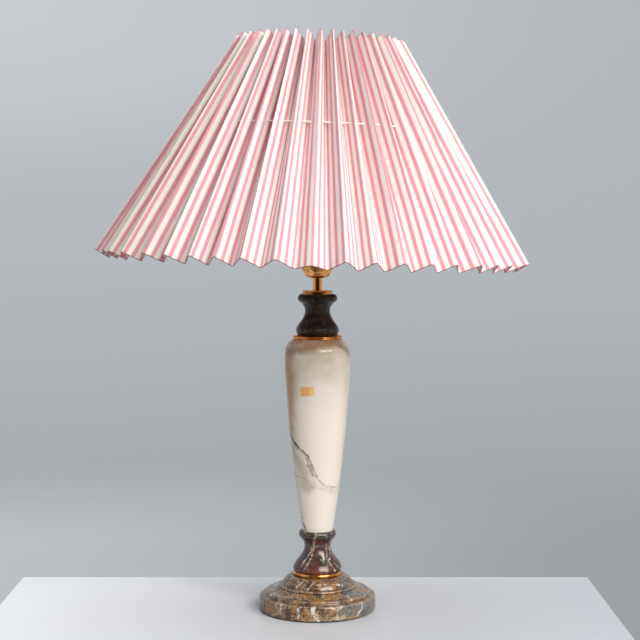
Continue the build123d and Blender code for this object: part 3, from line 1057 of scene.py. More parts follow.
def points_of(piece: bpy.types.Object) -> np.ndarray:
    """The points of a piece's mesh, one row each."""
    flat = np.empty(3 * len(piece.data.vertices))
    piece.data.vertices.foreach_get("co", flat)
    return flat.reshape(-1, 3)


def move_points(piece: bpy.types.Object, places: np.ndarray) -> None:
    """Puts the points of a piece's mesh at new places.

    Args:
        piece: The piece.
        places: The places, one row each.
    """
    piece.data.vertices.foreach_set("co", places.ravel())
    piece.data.update()


class Section:
    """Closed half section of a turned piece, in millimetres of radius and height.

    Attributes:
        corners: The points drawn so far.
        skin: Those that lie on the outside that shows, from the bottom up.
    """

    def __init__(self, start: Point, step: float) -> None:
        """Starts a section.

        Args:
            start: Its first point.
            step: Longest side of a round or fine stretch.
        """
        self.corners: list[Point] = [start]
        self.skin: list[Point] = []
        self.step = step

    def line(self, *ends: Point) -> "Section":
        """Draws straight sides to each of the points."""
        self.corners += ends
        return self

    def wall(self, *ends: Point) -> "Section":
        """Draws straight sides of the outside that shows, in fine steps.

        Args:
            ends: The point at the end of each side.

        Returns:
            The section.
        """
        for end in ends:
            start = self.corners[-1]
            parts = max(1, round(dist(start, end) / self.step))
            shares = [k / parts for k in range(1, parts + 1)]
            out, up = end[0] - start[0], end[1] - start[1]
            self.draw([(start[0] + s * out, start[1] + s * up) for s in shares])
        return self

    def arc(self, middle: Point, end: Point) -> "Section":
        """Draws the round stretch through a middle point.

        Args:
            middle: A point on the way.
            end: The last point.

        Returns:
            The section.
        """
        a, b, c = (complex(*point) for point in (self.corners[-1], middle, end))
        ratio = (c - a) / (b - a)
        centre = a + (b - a) * (ratio - abs(ratio) ** 2) / (2j * ratio.imag)
        sweep = phase((b - centre) / (a - centre)) + phase((c - centre) / (b - centre))
        parts = max(3, round(abs(sweep) * abs(a - centre) / self.step))
        around = [centre + (a - centre) * exp(1j * sweep * k / parts) for k in range(1, parts + 1)]
        self.draw([(point.real, point.imag) for point in around])
        return self

    def curve(self, *through: Point, leaving: Point, arriving: Point) -> "Section":
        """Draws one smooth stretch through points.

        Args:
            through: The points.
            leaving: Direction in which it leaves the last point drawn.
            arriving: Direction in which it arrives at its end.

        Returns:
            The section.
        """
        knots = np.array([self.corners[-1], *through])
        spans = np.hypot(*np.diff(knots, axis=0).T)
        system, sides = np.eye(len(knots)), np.zeros_like(knots)
        sides[0], sides[-1] = (np.array(way) / hypot(*way) for way in (leaving, arriving))
        slopes_between = np.diff(knots, axis=0) / spans[:, None]
        for k in range(1, len(knots) - 1):
            before, after = spans[k - 1], spans[k]
            system[k, k - 1 : k + 2] = after, 2 * (before + after), before
            sides[k] = 3 * (after * slopes_between[k - 1] + before * slopes_between[k])
        slopes = np.linalg.solve(system, sides)
        for k, span in enumerate(spans):
            parts = max(2, round(span / self.step))
            t = (np.arange(1, parts + 1) / parts)[:, None]
            held = (2 * t**3 - 3 * t**2 + 1) * knots[k] + (3 * t**2 - 2 * t**3) * knots[k + 1]
            pulled = (t**3 - 2 * t**2 + t) * slopes[k] + (t**3 - t**2) * slopes[k + 1]
            self.draw([tuple(point) for point in held + span * pulled])
        return self

    def draw(self, points: list[Point]) -> None:
        """Adds points of the outside that shows."""
        self.skin += [self.corners[-1], *points]
        self.corners += points

    def radius_at(self, height: np.ndarray) -> np.ndarray:
        """Radius of the outside at heights, all in millimetres."""
        radii, heights = np.array(self.skin).T
        return np.interp(height, heights, radii)

    def turned(self, name: str, sides: int) -> bpy.types.Object:
        """Turns the section about the upright axis.

        Args:
            name: Name of the piece.
            sides: Number of sides around.

        Returns:
            The piece, a closed shell.
        """
        clear_selection()
        bpy.ops.mesh.primitive_circle_add(vertices=len(self.corners), radius=MM, fill_type="NOTHING")
        piece = added(name)
        radii, heights = np.array(self.corners).T * MM
        move_points(piece, np.column_stack((radii, 0 * radii, heights)))
        on_axis = radii[0] < MERGE_GAP and radii[-1] < MERGE_GAP
        with editing(piece):
            if on_axis:
                drop_closing_edge(piece)
            bpy.ops.mesh.select_all(action="SELECT")
            bpy.ops.mesh.spin(steps=sides, angle=TURN, center=(0, 0, 0), axis=(0, 0, 1))
            bpy.ops.mesh.select_all(action="SELECT")
            bpy.ops.mesh.remove_doubles(threshold=MERGE_GAP)
            bpy.ops.mesh.normals_make_consistent(inside=False)
        return piece


def drop_closing_edge(piece: bpy.types.Object) -> None:
    """Removes the side of a drawn section that lies on the axis.

    Args:
        piece: The section, in edit mode.
    """
    bpy.ops.object.mode_set(mode="OBJECT")
    last = len(piece.data.vertices) - 1
    for item in (*piece.data.vertices, *piece.data.edges, *piece.data.polygons):
        item.select = False
    for edge in piece.data.edges:
        edge.select = set(edge.vertices) == {0, last}
    bpy.ops.object.mode_set(mode="EDIT")
    bpy.ops.mesh.select_mode(type="EDGE")
    bpy.ops.mesh.delete(type="EDGE_FACE")
    bpy.ops.mesh.select_mode(type="VERT")


Reshape = Callable[[np.ndarray, np.ndarray, np.ndarray], np.ndarray]


def reshape_round(piece: bpy.types.Object, rule: Reshape) -> None:
    """Changes the radius of a turned piece from place to place.

    Args:
        piece: The piece.
        rule: Takes angle, radius and height, the last two in millimetres, and gives the radius.
    """
    x, y, z = points_of(piece).T
    angle, radius = np.arctan2(y, x), np.hypot(x, y)
    grown = rule(angle, radius / MM, z / MM) * MM
    move_points(piece, np.column_stack((grown * np.cos(angle), grown * np.sin(angle), z)))


@dataclass(frozen=True)
class Mark:
    """A vein, fleck or patch in a stone's skin.

    Attributes:
        layer: The layer that it belongs to.
        path: Points across and up, in millimetres, as seen from straight in front.
        reach: Half its width at its start and at its end, in millimetres.
        turn: How far it is turned round the stone from the front, in degrees.
    """

    layer: str
    path: tuple[Point, ...]
    reach: tuple[float, float]
    turn: float = 0

    def gap(self, section: Section, skin: np.ndarray) -> np.ndarray:
        """How far points of the skin lie outside the mark.

        Args:
            section: The stone's section.
            skin: The points in millimetres, one row each.

        Returns:
            One distance in millimetres for each point.
        """
        across, up = np.array(self.path, float).T
        angle = np.arcsin(np.clip(across / section.radius_at(up), -1, 1)) + radians(self.turn)
        fine = np.linspace(0, len(across) - 1, 1 + 12 * (len(across) - 1))
        knots = np.arange(len(across))
        angle, up = np.interp(fine, knots, angle), np.interp(fine, knots, up)
        reach = np.interp(fine, (0, max(1, knots[-1])), self.reach)
        radius = section.radius_at(up)
        line = np.column_stack((radius * np.sin(angle), -radius * np.cos(angle), up))
        nearest = np.full(len(skin), np.inf)
        for point, half in zip(line, reach):
            nearest = np.minimum(nearest, np.linalg.norm(skin - point, axis=1) - half)
        return nearest


@dataclass(frozen=True)
class Band:
    """Painted shade along a groove, or a painted highlight along an edge, that runs all round a stone.

    Attributes:
        layer: The layer that it belongs to.
        radius: Its distance from the axis, in millimetres.
        height: Its height, in millimetres.
        reach: Half its width, in millimetres.
    """

    layer: str
    radius: float
    height: float
    reach: float

    def gap(self, section: Section, skin: np.ndarray) -> np.ndarray:
        """How far points of the skin lie outside the band.

        Args:
            section: The stone's section, which a band doesn't need.
            skin: The points in millimetres, one row each.

        Returns:
            One distance in millimetres for each point.
        """
        outwards = np.hypot(skin[:, 0], skin[:, 1]) - self.radius
        return np.hypot(outwards, skin[:, 2] - self.height) - self.reach


FINE_LAYERS = {"crack", "hair", "pale"}
FINE_REACH = 1.7


def divide_along(piece: bpy.types.Object, section: Section, marks: Sequence[Mark | Band]) -> None:
    """Divides a turned stone's skin finely along its thin marks, and rounds it again.

    Args:
        piece: The stone.
        section: Its section.
        marks: The marks.
    """
    skin = points_of(piece) / MM
    gaps = [mark.gap(section, skin) for mark in marks if mark.layer in FINE_LAYERS]
    with editing(piece, np.min(gaps, axis=0) < FINE_REACH):
        bpy.ops.mesh.subdivide(number_cuts=2)
    x, y, z = points_of(piece).T
    radius, full = np.hypot(x, y), section.radius_at(z / MM) * MM
    grown = np.where(np.abs(full - radius) < NEAR * MM, full / np.maximum(radius, MERGE_GAP), 1)
    move_points(piece, np.column_stack((x * grown, y * grown, z)))


def lay_marks(piece: bpy.types.Object, section: Section, marks: Sequence[Mark | Band]) -> None:
    """Stores on a turned stone how far each point lies outside the marks of each layer.

    Args:
        piece: The stone.
        section: Its section.
        marks: The marks.
    """
    divide_along(piece, section, marks)
    skin = points_of(piece) / MM
    for layer in sorted({mark.layer for mark in marks}):
        gaps = [mark.gap(section, skin) for mark in marks if mark.layer == layer]
        made = piece.data.attributes.new(layer, "FLOAT", "POINT")
        made.data.foreach_set("value", np.min(gaps, axis=0).astype(np.float32))


def put_in(
    piece: bpy.types.Object, body: Body, slot: Slot, *replaced: str, others: Sequence[object] = ()
) -> None:
    """Puts a finished piece in the lamp.

    Args:
        piece: The piece.
        body: The body that it rides on.
        slot: Its finish.
        replaced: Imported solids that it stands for.
        others: Finishes for its further faces.
    """
    PALETTE.dress(piece, slot, *others)
    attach(piece, body.value)
    if replaced:
        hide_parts(*replaced)
    LOG.info("%s rides on %s, %d faces", piece.name, body.value, len(piece.data.polygons))


# ---- The stone pieces -----------------------------------------------------


@dataclass
class Foot:
    """The round marble foot and the nut under it, in millimetres.

    Attributes:
        radius: Radius of the wall.
        bottom: Height of the wall's lower edge, on the felt.
        top: Height of the top.
        wall_top: Height of the wall's upper edge.
        edge: Radius of the wall's rounded edge.
        recess_radius: Radius of the hollow underneath.
        recess_top: Height of the hollow's ceiling.
        bore: Radius of the hole for the tube.
        chamfer: Size of the chamfer on the wall's lower edge.
        bush_radius: Radius of the cord bush in the wall.
        bush_step: Distance from the axis at which the hole widens for the bush's collar.
        spare: How far the tool for the hole runs past both of its ends.
        sides: Number of sides around.
        marks: Marks in its skin.
    """

    radius: float = 60.0
    bottom: float = 1.5
    top: float = 36.2
    wall_top: float = 16.4
    edge: float = 3.0
    recess_radius: float = 42.0
    recess_top: float = 12.0
    bore: float = 5.5
    chamfer: float = 0.8
    bush_radius: float = 5.0
    bush_step: float = 58.2
    spare: float = 4.0
    sides: int = 288
    marks: tuple[Mark | Band, ...] = (
        Mark("pale", ((-3.9, 15.8), (-4.6, 11.7), (-2.4, 6.8), (1.1, 2.5)), (2.2, 1.2)),
        Mark("pale", ((-36.2, 16.0), (-37.0, 9.0), (-36.5, 4.1)), (0.9, 0.5)),
        Mark("pale", ((-16.0, 16.1), (-19.3, 13.9), (-18.6, 9.5), (-19.3, 4.9)), (0.5, 0.7)),
        Mark("pale", ((13.4, 15.6), (19.7, 11.5), (20.5, 3.9)), (0.7, 0.5)),
        Mark("pale", ((24.8, 15.9), (19.7, 11.5)), (0.5, 0.6)),
        Mark("pale", ((45.1, 15.1), (45.1, 10.4), (41.7, 6.3), (38.2, 2.1)), (0.6, 0.5)),
        Mark("pale", ((-24.0, 35.9), (-28.5, 31.8), (-32.5, 28.6)), (0.4, 0.4)),
        Mark("pale", ((-12.5, 35.8), (-17.0, 32.4), (-21.8, 28.4)), (0.4, 0.7)),
        Mark("pale", ((-3.9, 35.0), (-7.0, 31.2), (-10.2, 27.4)), (0.4, 0.4)),
        Mark("pale", ((-1.0, 31.6), (4.0, 32.6), (9.0, 32.2)), (0.4, 0.3)),
        Mark("pale", ((16.4, 31.9), (20.5, 31.2), (25.1, 29.8)), (0.6, 0.9)),
        Mark("pale", ((-12.3, 20.0),), (1.1, 1.1)),
        Mark("pale", ((-42.0, 21.6), (-47.0, 19.6), (-50.5, 17.6)), (0.3, 0.4)),
        Mark("pale", ((24.0, 22.0), (31.0, 21.2), (34.0, 19.0)), (0.5, 0.4)),
        Mark("slate", ((26.0, 12.0), (42.0, 9.0), (56.0, 8.0)), (5.0, 8.0)),
        Mark("slate", ((42.0, 21.0), (52.0, 18.0)), (5.0, 4.0)),
        Mark("olive", ((-59.0, 14.0), (-58.0, 4.0)), (8.0, 8.0)),
        Mark("bark", ((-35.0, 28.0), (-24.0, 33.5)), (3.5, 3.5)),
        Mark("bark", ((-52.0, 19.0), (-40.0, 23.0)), (2.5, 2.5)),
        # Painted shade: dark lines in the grooves and creases all round the foot.
        Band("grime", 54.4, 16.7, 0.45),
        Band("grime", 40.5, 24.1, 0.45),
        Band("grime", 36.9, 26.8, 0.35),
        Band("grime", 26.6, 36.1, 0.5),
        # Painted highlights: pale lines along the rounded edges all round the foot.
        Band("worn", 53.8, 19.1, 0.3),
        Band("worn", 40.2, 25.7, 0.25),
        Band("worn", 59.1, 15.5, 0.25),
        Mark("slate", ((30.0, 25.0), (40.0, 21.5)), (5.0, 6.0)),
        Mark("slate", ((24.0, 34.5), (31.0, 30.0)), (4.0, 4.0)),
        Mark("pale", ((-20.0, 15.9), (-12.0, 9.0), (-6.0, 2.5)), (0.9, 1.3), turn=150),
        Mark("pale", ((10.0, 15.9), (14.0, 10.0), (9.0, 2.5)), (0.5, 0.9), turn=200),
        Mark("pale", ((-20.0, 15.5), (-14.0, 10.0), (-17.0, 3.0)), (1.6, 0.6), turn=255),
        Mark("slate", ((-10.0, 15.0), (10.0, 5.0)), (7.0, 4.0), turn=180),
        Mark("slate", ((-10.0, 24.0), (6.0, 20.0)), (6.0, 4.0), turn=290),
    )

    def section(self) -> Section:
        """Draws the foot: straight wall, raised lip, hollow, bead and swelling top."""
        wall_start = self.wall_top - self.edge
        inner = self.radius - self.edge
        corner = (inner + self.edge * cos(pi / 4), wall_start + self.edge * sin(pi / 4))
        drawn = Section((self.recess_radius, self.bottom), step=0.8)
        drawn.line((self.radius - self.chamfer, self.bottom)).wall((self.radius, self.bottom + self.chamfer))
        drawn.wall((self.radius, wall_start)).arc(corner, (inner, self.wall_top))
        drawn.wall((54.6, 16.6), (54.0, 17.6)).arc((53.7, 19.3), (52.2, 20.2))
        drawn.arc((46.0, 21.2), (40.4, 24.2)).arc((40.3, 25.8), (38.8, 26.4))
        drawn.wall((36.8, 26.9)).arc((33.6, 32.4), (26.2, self.top))
        drawn.line((self.bore, self.top), (self.bore, self.recess_top))
        return drawn.line((self.recess_radius, self.recess_top))

    def build(self) -> None:
        """Makes the foot and its nut."""
        section = self.section()
        foot = section.turned("veined_foot", self.sides)
        apply_modifier(foot, "BOOLEAN", object=self.bush_hole(), solver="EXACT", operation="DIFFERENCE")
        bpy.data.objects.remove(bpy.data.objects["bush_hole"])
        lay_marks(foot, section, self.marks)
        smooth(foot, 30)
        put_in(foot, Body.STAND, Slot.OCHRE_MARBLE, "plinth")
        put_in(hex_nut("base_nut_chamfered", "base_nut"), Body.STAND, Slot.STEEL, "base_nut")

    def bush_hole(self) -> bpy.types.Object:
        """The stepped hole through the back wall, for the cord bush."""
        low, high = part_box("cord_bush")
        centre = (low.z + high.z) / 2
        collar = (high.z - low.z) / 2 / MM
        bush, step = self.bush_radius, self.bush_step
        start, end = self.recess_radius - self.spare, self.radius + self.spare
        drawn = Section((0, start), step=1)
        drawn.line((bush, start), (bush, step), (collar, step), (collar, end), (0, end))
        cutter = drawn.turned("bush_hole", 48)
        cutter.data.transform(Matrix.Translation((0, 0, centre)) @ Matrix.Rotation(-pi / 2, 4, "X"))
        return cutter


def hex_nut(
    name: str, node: str, bore: float = 5.0, chamfer: float = 0.62, rim: float = 0.5
) -> bpy.types.Object:
    """A six-sided nut with both faces chamfered.

    Args:
        name: Name of the piece.
        node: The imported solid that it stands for.
        bore: Radius of its hole, in millimetres.
        chamfer: Height of its chamfers, in millimetres.
        rim: Width of the flat rim round its hole, in millimetres.

    Returns:
        The piece.
    """
    low, high = box_mm(node)
    across_flats = min(high.x - low.x, high.y - low.y) / 2
    flat_way = 0 if high.x - low.x < high.y - low.y else pi / 6
    corner_radius = across_flats / cos(pi / 6)
    slope = (corner_radius - across_flats) / chamfer
    rises = [chamfer * k / 6 for k in range(7)]
    drawn = Section((bore, low.z), step=1).line((bore + rim, low.z))
    drawn.line(*[(across_flats, low.z + rise) for rise in rises])
    drawn.line(*[(across_flats, high.z - rise) for rise in reversed(rises)])
    drawn.line((bore + rim, high.z), (bore, high.z))
    nut = drawn.turned(name, 72)

    def six_sided(angle: np.ndarray, radius: np.ndarray, height: np.ndarray) -> np.ndarray:
        """Radius on the nut's flats and chamfers, and as it was on its faces and bore."""
        around = (angle - flat_way + pi / 6) % (pi / 3) - pi / 6
        face = across_flats + slope * np.minimum(height - low.z, high.z - height)
        outer = np.minimum(across_flats / np.cos(around), face)
        return np.where(radius > across_flats - NEAR, outer, radius)

    reshape_round(nut, six_sided)
    smooth(nut, 20)
    return nut


@dataclass
class Column:
    """The red spool and the alabaster column, in millimetres.

    Attributes:
        bore: Radius of the hole for the tube.
        ring_top: Height of the brass ring under the spool.
        spool_top: Height of the joint between spool and column.
        seat: Depth of the column's seat in the spool.
        seat_gap: Room around the column's foot in the seat.
        foot_radius: Radius of the column's foot.
        top: Height of the column's top.
        spool_marks: Marks in the spool's skin.
        column_marks: Marks in the column's skin.
    """

    bore: float = 5.5
    ring_top: float = 40.2
    spool_top: float = 81.7
    seat: float = 1.5
    seat_gap: float = 0.4
    foot_radius: float = 16.1
    top: float = 280.2
    spool_marks: tuple[Mark | Band, ...] = (
        Mark("sage", ((0.4, 80.3), (-2.6, 77.1), (-4.0, 72.1), (-4.2, 65.3), (-4.8, 63.2)), (1.6, 0.8)),
        Mark("pale", ((-5.2, 59.1), (-7.1, 54.4), (-9.6, 50.5), (-13.1, 45.9)), (0.4, 1.0)),
        Mark("pale", ((-7.5, 60.5), (-11.0, 55.5), (-14.1, 51.4), (-17.1, 46.7)), (0.5, 0.6)),
        Mark("sage", ((8.8, 79.4), (8.8, 71.5), (9.7, 66.9), (9.5, 61.1), (9.7, 55.6), (9.7, 49.7),
                      (10.1, 42.7)), (0.4, 0.8)),
        Mark("pale", ((11.9, 65.8), (13.2, 60.2), (13.2, 55.1), (11.0, 53.3), (14.9, 47.5), (18.4, 42.6)),
             (0.4, 0.6)),
        Mark("pale", ((16.3, 50.3), (19.4, 47.7), (21.6, 44.1)), (0.3, 0.4)),
        Mark("pale", ((24.6, 44.8), (23.3, 42.2)), (0.4, 0.3)),
        # A painted highlight: the key lamp's reflection, laid as a pale patch on the neck.
        Mark("pale", ((4.9, 58.3), (7.0, 54.4)), (1.5, 1.2)),
        Mark("sage", ((-0.9, 58.1), (3.5, 54.2), (8.8, 50.2)), (0.3, 0.6)),
        Mark("dusk", ((-8.8, 72.9), (-9.5, 64.9)), (3.2, 3.0)),
        Mark("dusk", ((-19.0, 52.0), (-22.5, 43.0)), (2.0, 2.5)),
        Mark("dusk", ((-17.5, 78.0), (-9.0, 77.6)), (2.6, 2.4)),
        Mark("dusk", ((5.5, 77.8), (16.0, 78.4)), (2.2, 2.8)),
        # Painted shade in the crease under the spool's top bead.
        Band("grime", 17.6, 74.0, 0.4),
        Mark("ember", ((-8.0, 43.6), (10.0, 43.2)), (2.2, 2.2)),
        Mark("pale", ((-12.7, 81.3),), (0.8, 0.8)),
        Mark("pale", ((-8.8, 82.4),), (0.6, 0.6)),
        Mark("sage", ((-3.4, 81.5), (0.6, 82.4)), (1.0, 0.8)),
        Mark("pale", ((9.7, 80.9), (12.0, 81.4)), (0.6, 0.4)),
        Mark("pale", ((14.4, 80.4),), (0.5, 0.5)),
        Mark("sage", ((3.0, 81.0), (-3.0, 70.0), (-8.0, 58.0), (-16.0, 45.0)), (1.0, 1.0), turn=140),
        Mark("pale", ((8.0, 79.0), (6.0, 66.0), (10.0, 52.0), (17.0, 43.0)), (0.4, 0.7), turn=200),
        Mark("dusk", ((-4.0, 74.0), (6.0, 62.0)), (4.0, 3.0), turn=230),
        Mark("pale", ((-10.0, 79.0), (-5.0, 62.0), (-12.0, 46.0)), (0.5, 0.5), turn=260),
    )
    column_marks: tuple[Mark, ...] = (
        Mark("milk", ((6.0, 211.0), (3.0, 150.0), (1.0, 95.0)), (29.0, 26.0)),
        # Tan that is partly the stone's own and partly painted shade, down the left side and along the top.
        Mark("tan", ((-31.5, 262.0), (-30.0, 240.0), (-28.8, 215.0), (-27.4, 188.0)), (12.5, 5.0)),
        Mark("tan", ((-22.0, 279.0), (0.0, 278.0), (20.0, 277.5)), (4.0, 5.0)),
        Mark("umber", ((-32.0, 267.0), (-22.0, 270.5), (-12.0, 272.0), (0.0, 274.5), (16.0, 277.5)),
             (5.0, 1.6)),
        Mark("soot", ((23.0, 274.5), (29.0, 270.5), (33.0, 265.5)), (3.0, 3.2)),
        Mark("amber", ((-15.2, 229.4), (-6.8, 229.8)), (3.2, 3.2)),
        Mark("amber", ((-14.8, 226.0), (-7.0, 227.4)), (3.2, 3.2)),
        Mark("honey", ((-6.0, 229.2), (-6.2, 227.4)), (2.4, 2.4)),
        Mark("halo", ((-31.2, 214.0), (-30.3, 198.0), (-28.8, 186.0), (-25.8, 176.5), (-21.5, 170.0)),
             (1.0, 2.2)),
        Mark("halo", ((-20.9, 170.4), (-13.5, 163.5), (-10.2, 158.0), (-8.2, 150.0), (-5.0, 143.0)),
             (1.6, 1.0)),
        Mark("smoke", ((-26.0, 168.0), (-19.0, 154.0), (-14.0, 141.0), (-11.0, 130.0)), (5.0, 6.5)),
        Mark("smoke", ((-8.6, 152.0), (-5.0, 142.0)), (1.5, 2.5)),
        Mark("smoke", ((4.6, 127.8), (12.9, 126.1), (20.1, 124.5)), (0.2, 0.8)),
        Mark("smoke", ((-20.0, 108.0), (-17.5, 92.0)), (1.5, 2.5)),
        Mark("crack", ((-30.9, 210.0), (-30.3, 198.0), (-28.8, 186.0), (-25.8, 177.8), (-20.9, 171.2)),
             (0.8, 1.4)),
        Mark("crack", ((-20.9, 171.2), (-17.1, 168.3), (-12.9, 164.5), (-9.6, 161.9), (-7.1, 155.8)),
             (1.1, 0.4)),
        Mark("hair", ((-7.1, 155.8), (-4.8, 150.3), (-2.0, 143.0), (1.6, 136.6), (5.8, 132.4)), (0.8, 0.5)),
        Mark("hair", ((5.8, 132.4), (10.4, 130.2), (15.4, 128.6), (20.0, 128.2), (23.6, 129.4)), (0.5, 0.2)),
        Mark("hair", ((-9.6, 160.4), (-10.2, 147.2), (-10.9, 141.6)), (0.5, 0.2)),
        Mark("hair", ((-23.8, 139.7), (-19.0, 139.4), (-14.4, 139.1), (-9.7, 135.9)), (0.5, 0.1)),
        Mark("hair", ((-8.6, 149.6), (-5.6, 143.5), (-3.5, 135.2), (0.6, 127.9)), (0.2, 0.1)),
        Mark("hair", ((-13.0, 127.5), (-4.0, 129.5), (4.0, 128.0)), (0.0, 0.1)),
        Mark("crack", ((-17.0, 107.0), (-15.9, 97.0), (-14.6, 89.4), (-12.0, 84.0)), (0.0, 0.9)),
        Mark("milk", ((-4.0, 190.0), (0.0, 140.0), (2.0, 95.0)), (22.0, 22.0), turn=190),
        Mark("crack", ((-26.0, 236.0), (-14.0, 219.0), (0.0, 204.0), (8.0, 180.0)), (1.0, 0.1), turn=150),
        Mark("hair", ((0.0, 204.0), (12.0, 196.0), (20.0, 176.0)), (0.6, 0.1), turn=150),
        Mark("smoke", ((-10.0, 208.0), (2.0, 186.0), (6.0, 168.0)), (4.0, 3.0), turn=150),
        Mark("crack", ((-21.0, 150.0), (-8.0, 156.0), (5.0, 149.0), (17.0, 157.0)), (0.1, 0.8), turn=205),
        Mark("hair", ((5.0, 149.0), (8.0, 134.0), (4.0, 118.0)), (0.5, 0.1), turn=205),
        Mark("smoke", ((-6.0, 150.0), (10.0, 142.0)), (4.0, 5.0), turn=205),
        Mark("tan", ((-20.0, 266.0), (-2.0, 246.0), (14.0, 238.0)), (8.0, 2.0), turn=215),
        Mark("umber", ((-16.0, 270.0), (6.0, 272.0)), (3.0, 2.0), turn=240),
        Mark("hair", ((-8.0, 258.0), (2.0, 236.0), (-4.0, 214.0), (6.0, 198.0)), (0.5, 0.2), turn=275),
    )

    def spool_section(self) -> Section:
        """Draws the red spool: foot bead, hollow neck and a bead under the column."""
        drawn = Section((self.bore, self.ring_top), step=0.7).line((24.4, self.ring_top))
        drawn.arc((25.4, 42.2), (24.8, 44.8))
        neck = ((21.7, 50.4), (16.2, 57.5), (13.6, 64.3), (14.0, 68.2), (17.4, 73.6))
        drawn.curve(*neck, leaving=(-0.3, 1), arriving=(1, 1)).wall((18.1, 74.6))
        drawn.arc((19.5, 78.0), (17.7, self.spool_top))
        lip, floor = self.foot_radius + self.seat_gap, self.spool_top - self.seat
        return drawn.line((lip, self.spool_top), (lip, floor), (self.bore, floor))

    def column_section(self) -> Section:
        """Draws the column: it widens from its foot to a round shoulder."""
        floor = self.spool_top - self.seat
        drawn = Section((self.bore, floor), step=1.1)
        drawn.line((self.foot_radius, floor), (self.foot_radius, self.spool_top))
        swell = ((21.1, 115.0), (25.8, 152.0), (29.8, 190.0), (32.7, 227.0), (34.4, 255.0), (33.9, 266.0))
        drawn.curve(*swell, leaving=(0.15, 1), arriving=(-0.12, 1))
        return drawn.arc((31.2, 275.2), (24.6, self.top)).line((self.bore, self.top))

    def build(self) -> None:
        """Makes the two stones."""
        pieces = (
            ("veined_spool", self.spool_section(), self.spool_marks, Slot.RED_MARBLE, "lower_spool"),
            ("veined_column", self.column_section(), self.column_marks, Slot.ALABASTER, "alabaster_column"),
        )
        for name, section, marks, slot, node in pieces:
            stone = section.turned(name, 192)
            lay_marks(stone, section, marks)
            smooth(stone)
            put_in(stone, Body.STAND, slot, node)


# ---- The lampholder and the bulb ------------------------------------------


def helix(angle: np.ndarray, height: np.ndarray, pitch: float) -> np.ndarray:
    """A right-hand screw's wave, from 0 in its root to 1 on its crest."""
    return 0.5 + 0.5 * np.cos(TURN * height / pitch - angle)


def ease(height: np.ndarray, low: float, high: float, run: float = 1.6) -> np.ndarray:
    """1 between two heights, and easing to 0 at both over a run."""
    return np.clip(np.minimum(height - low, high - height) / run, 0, 1)


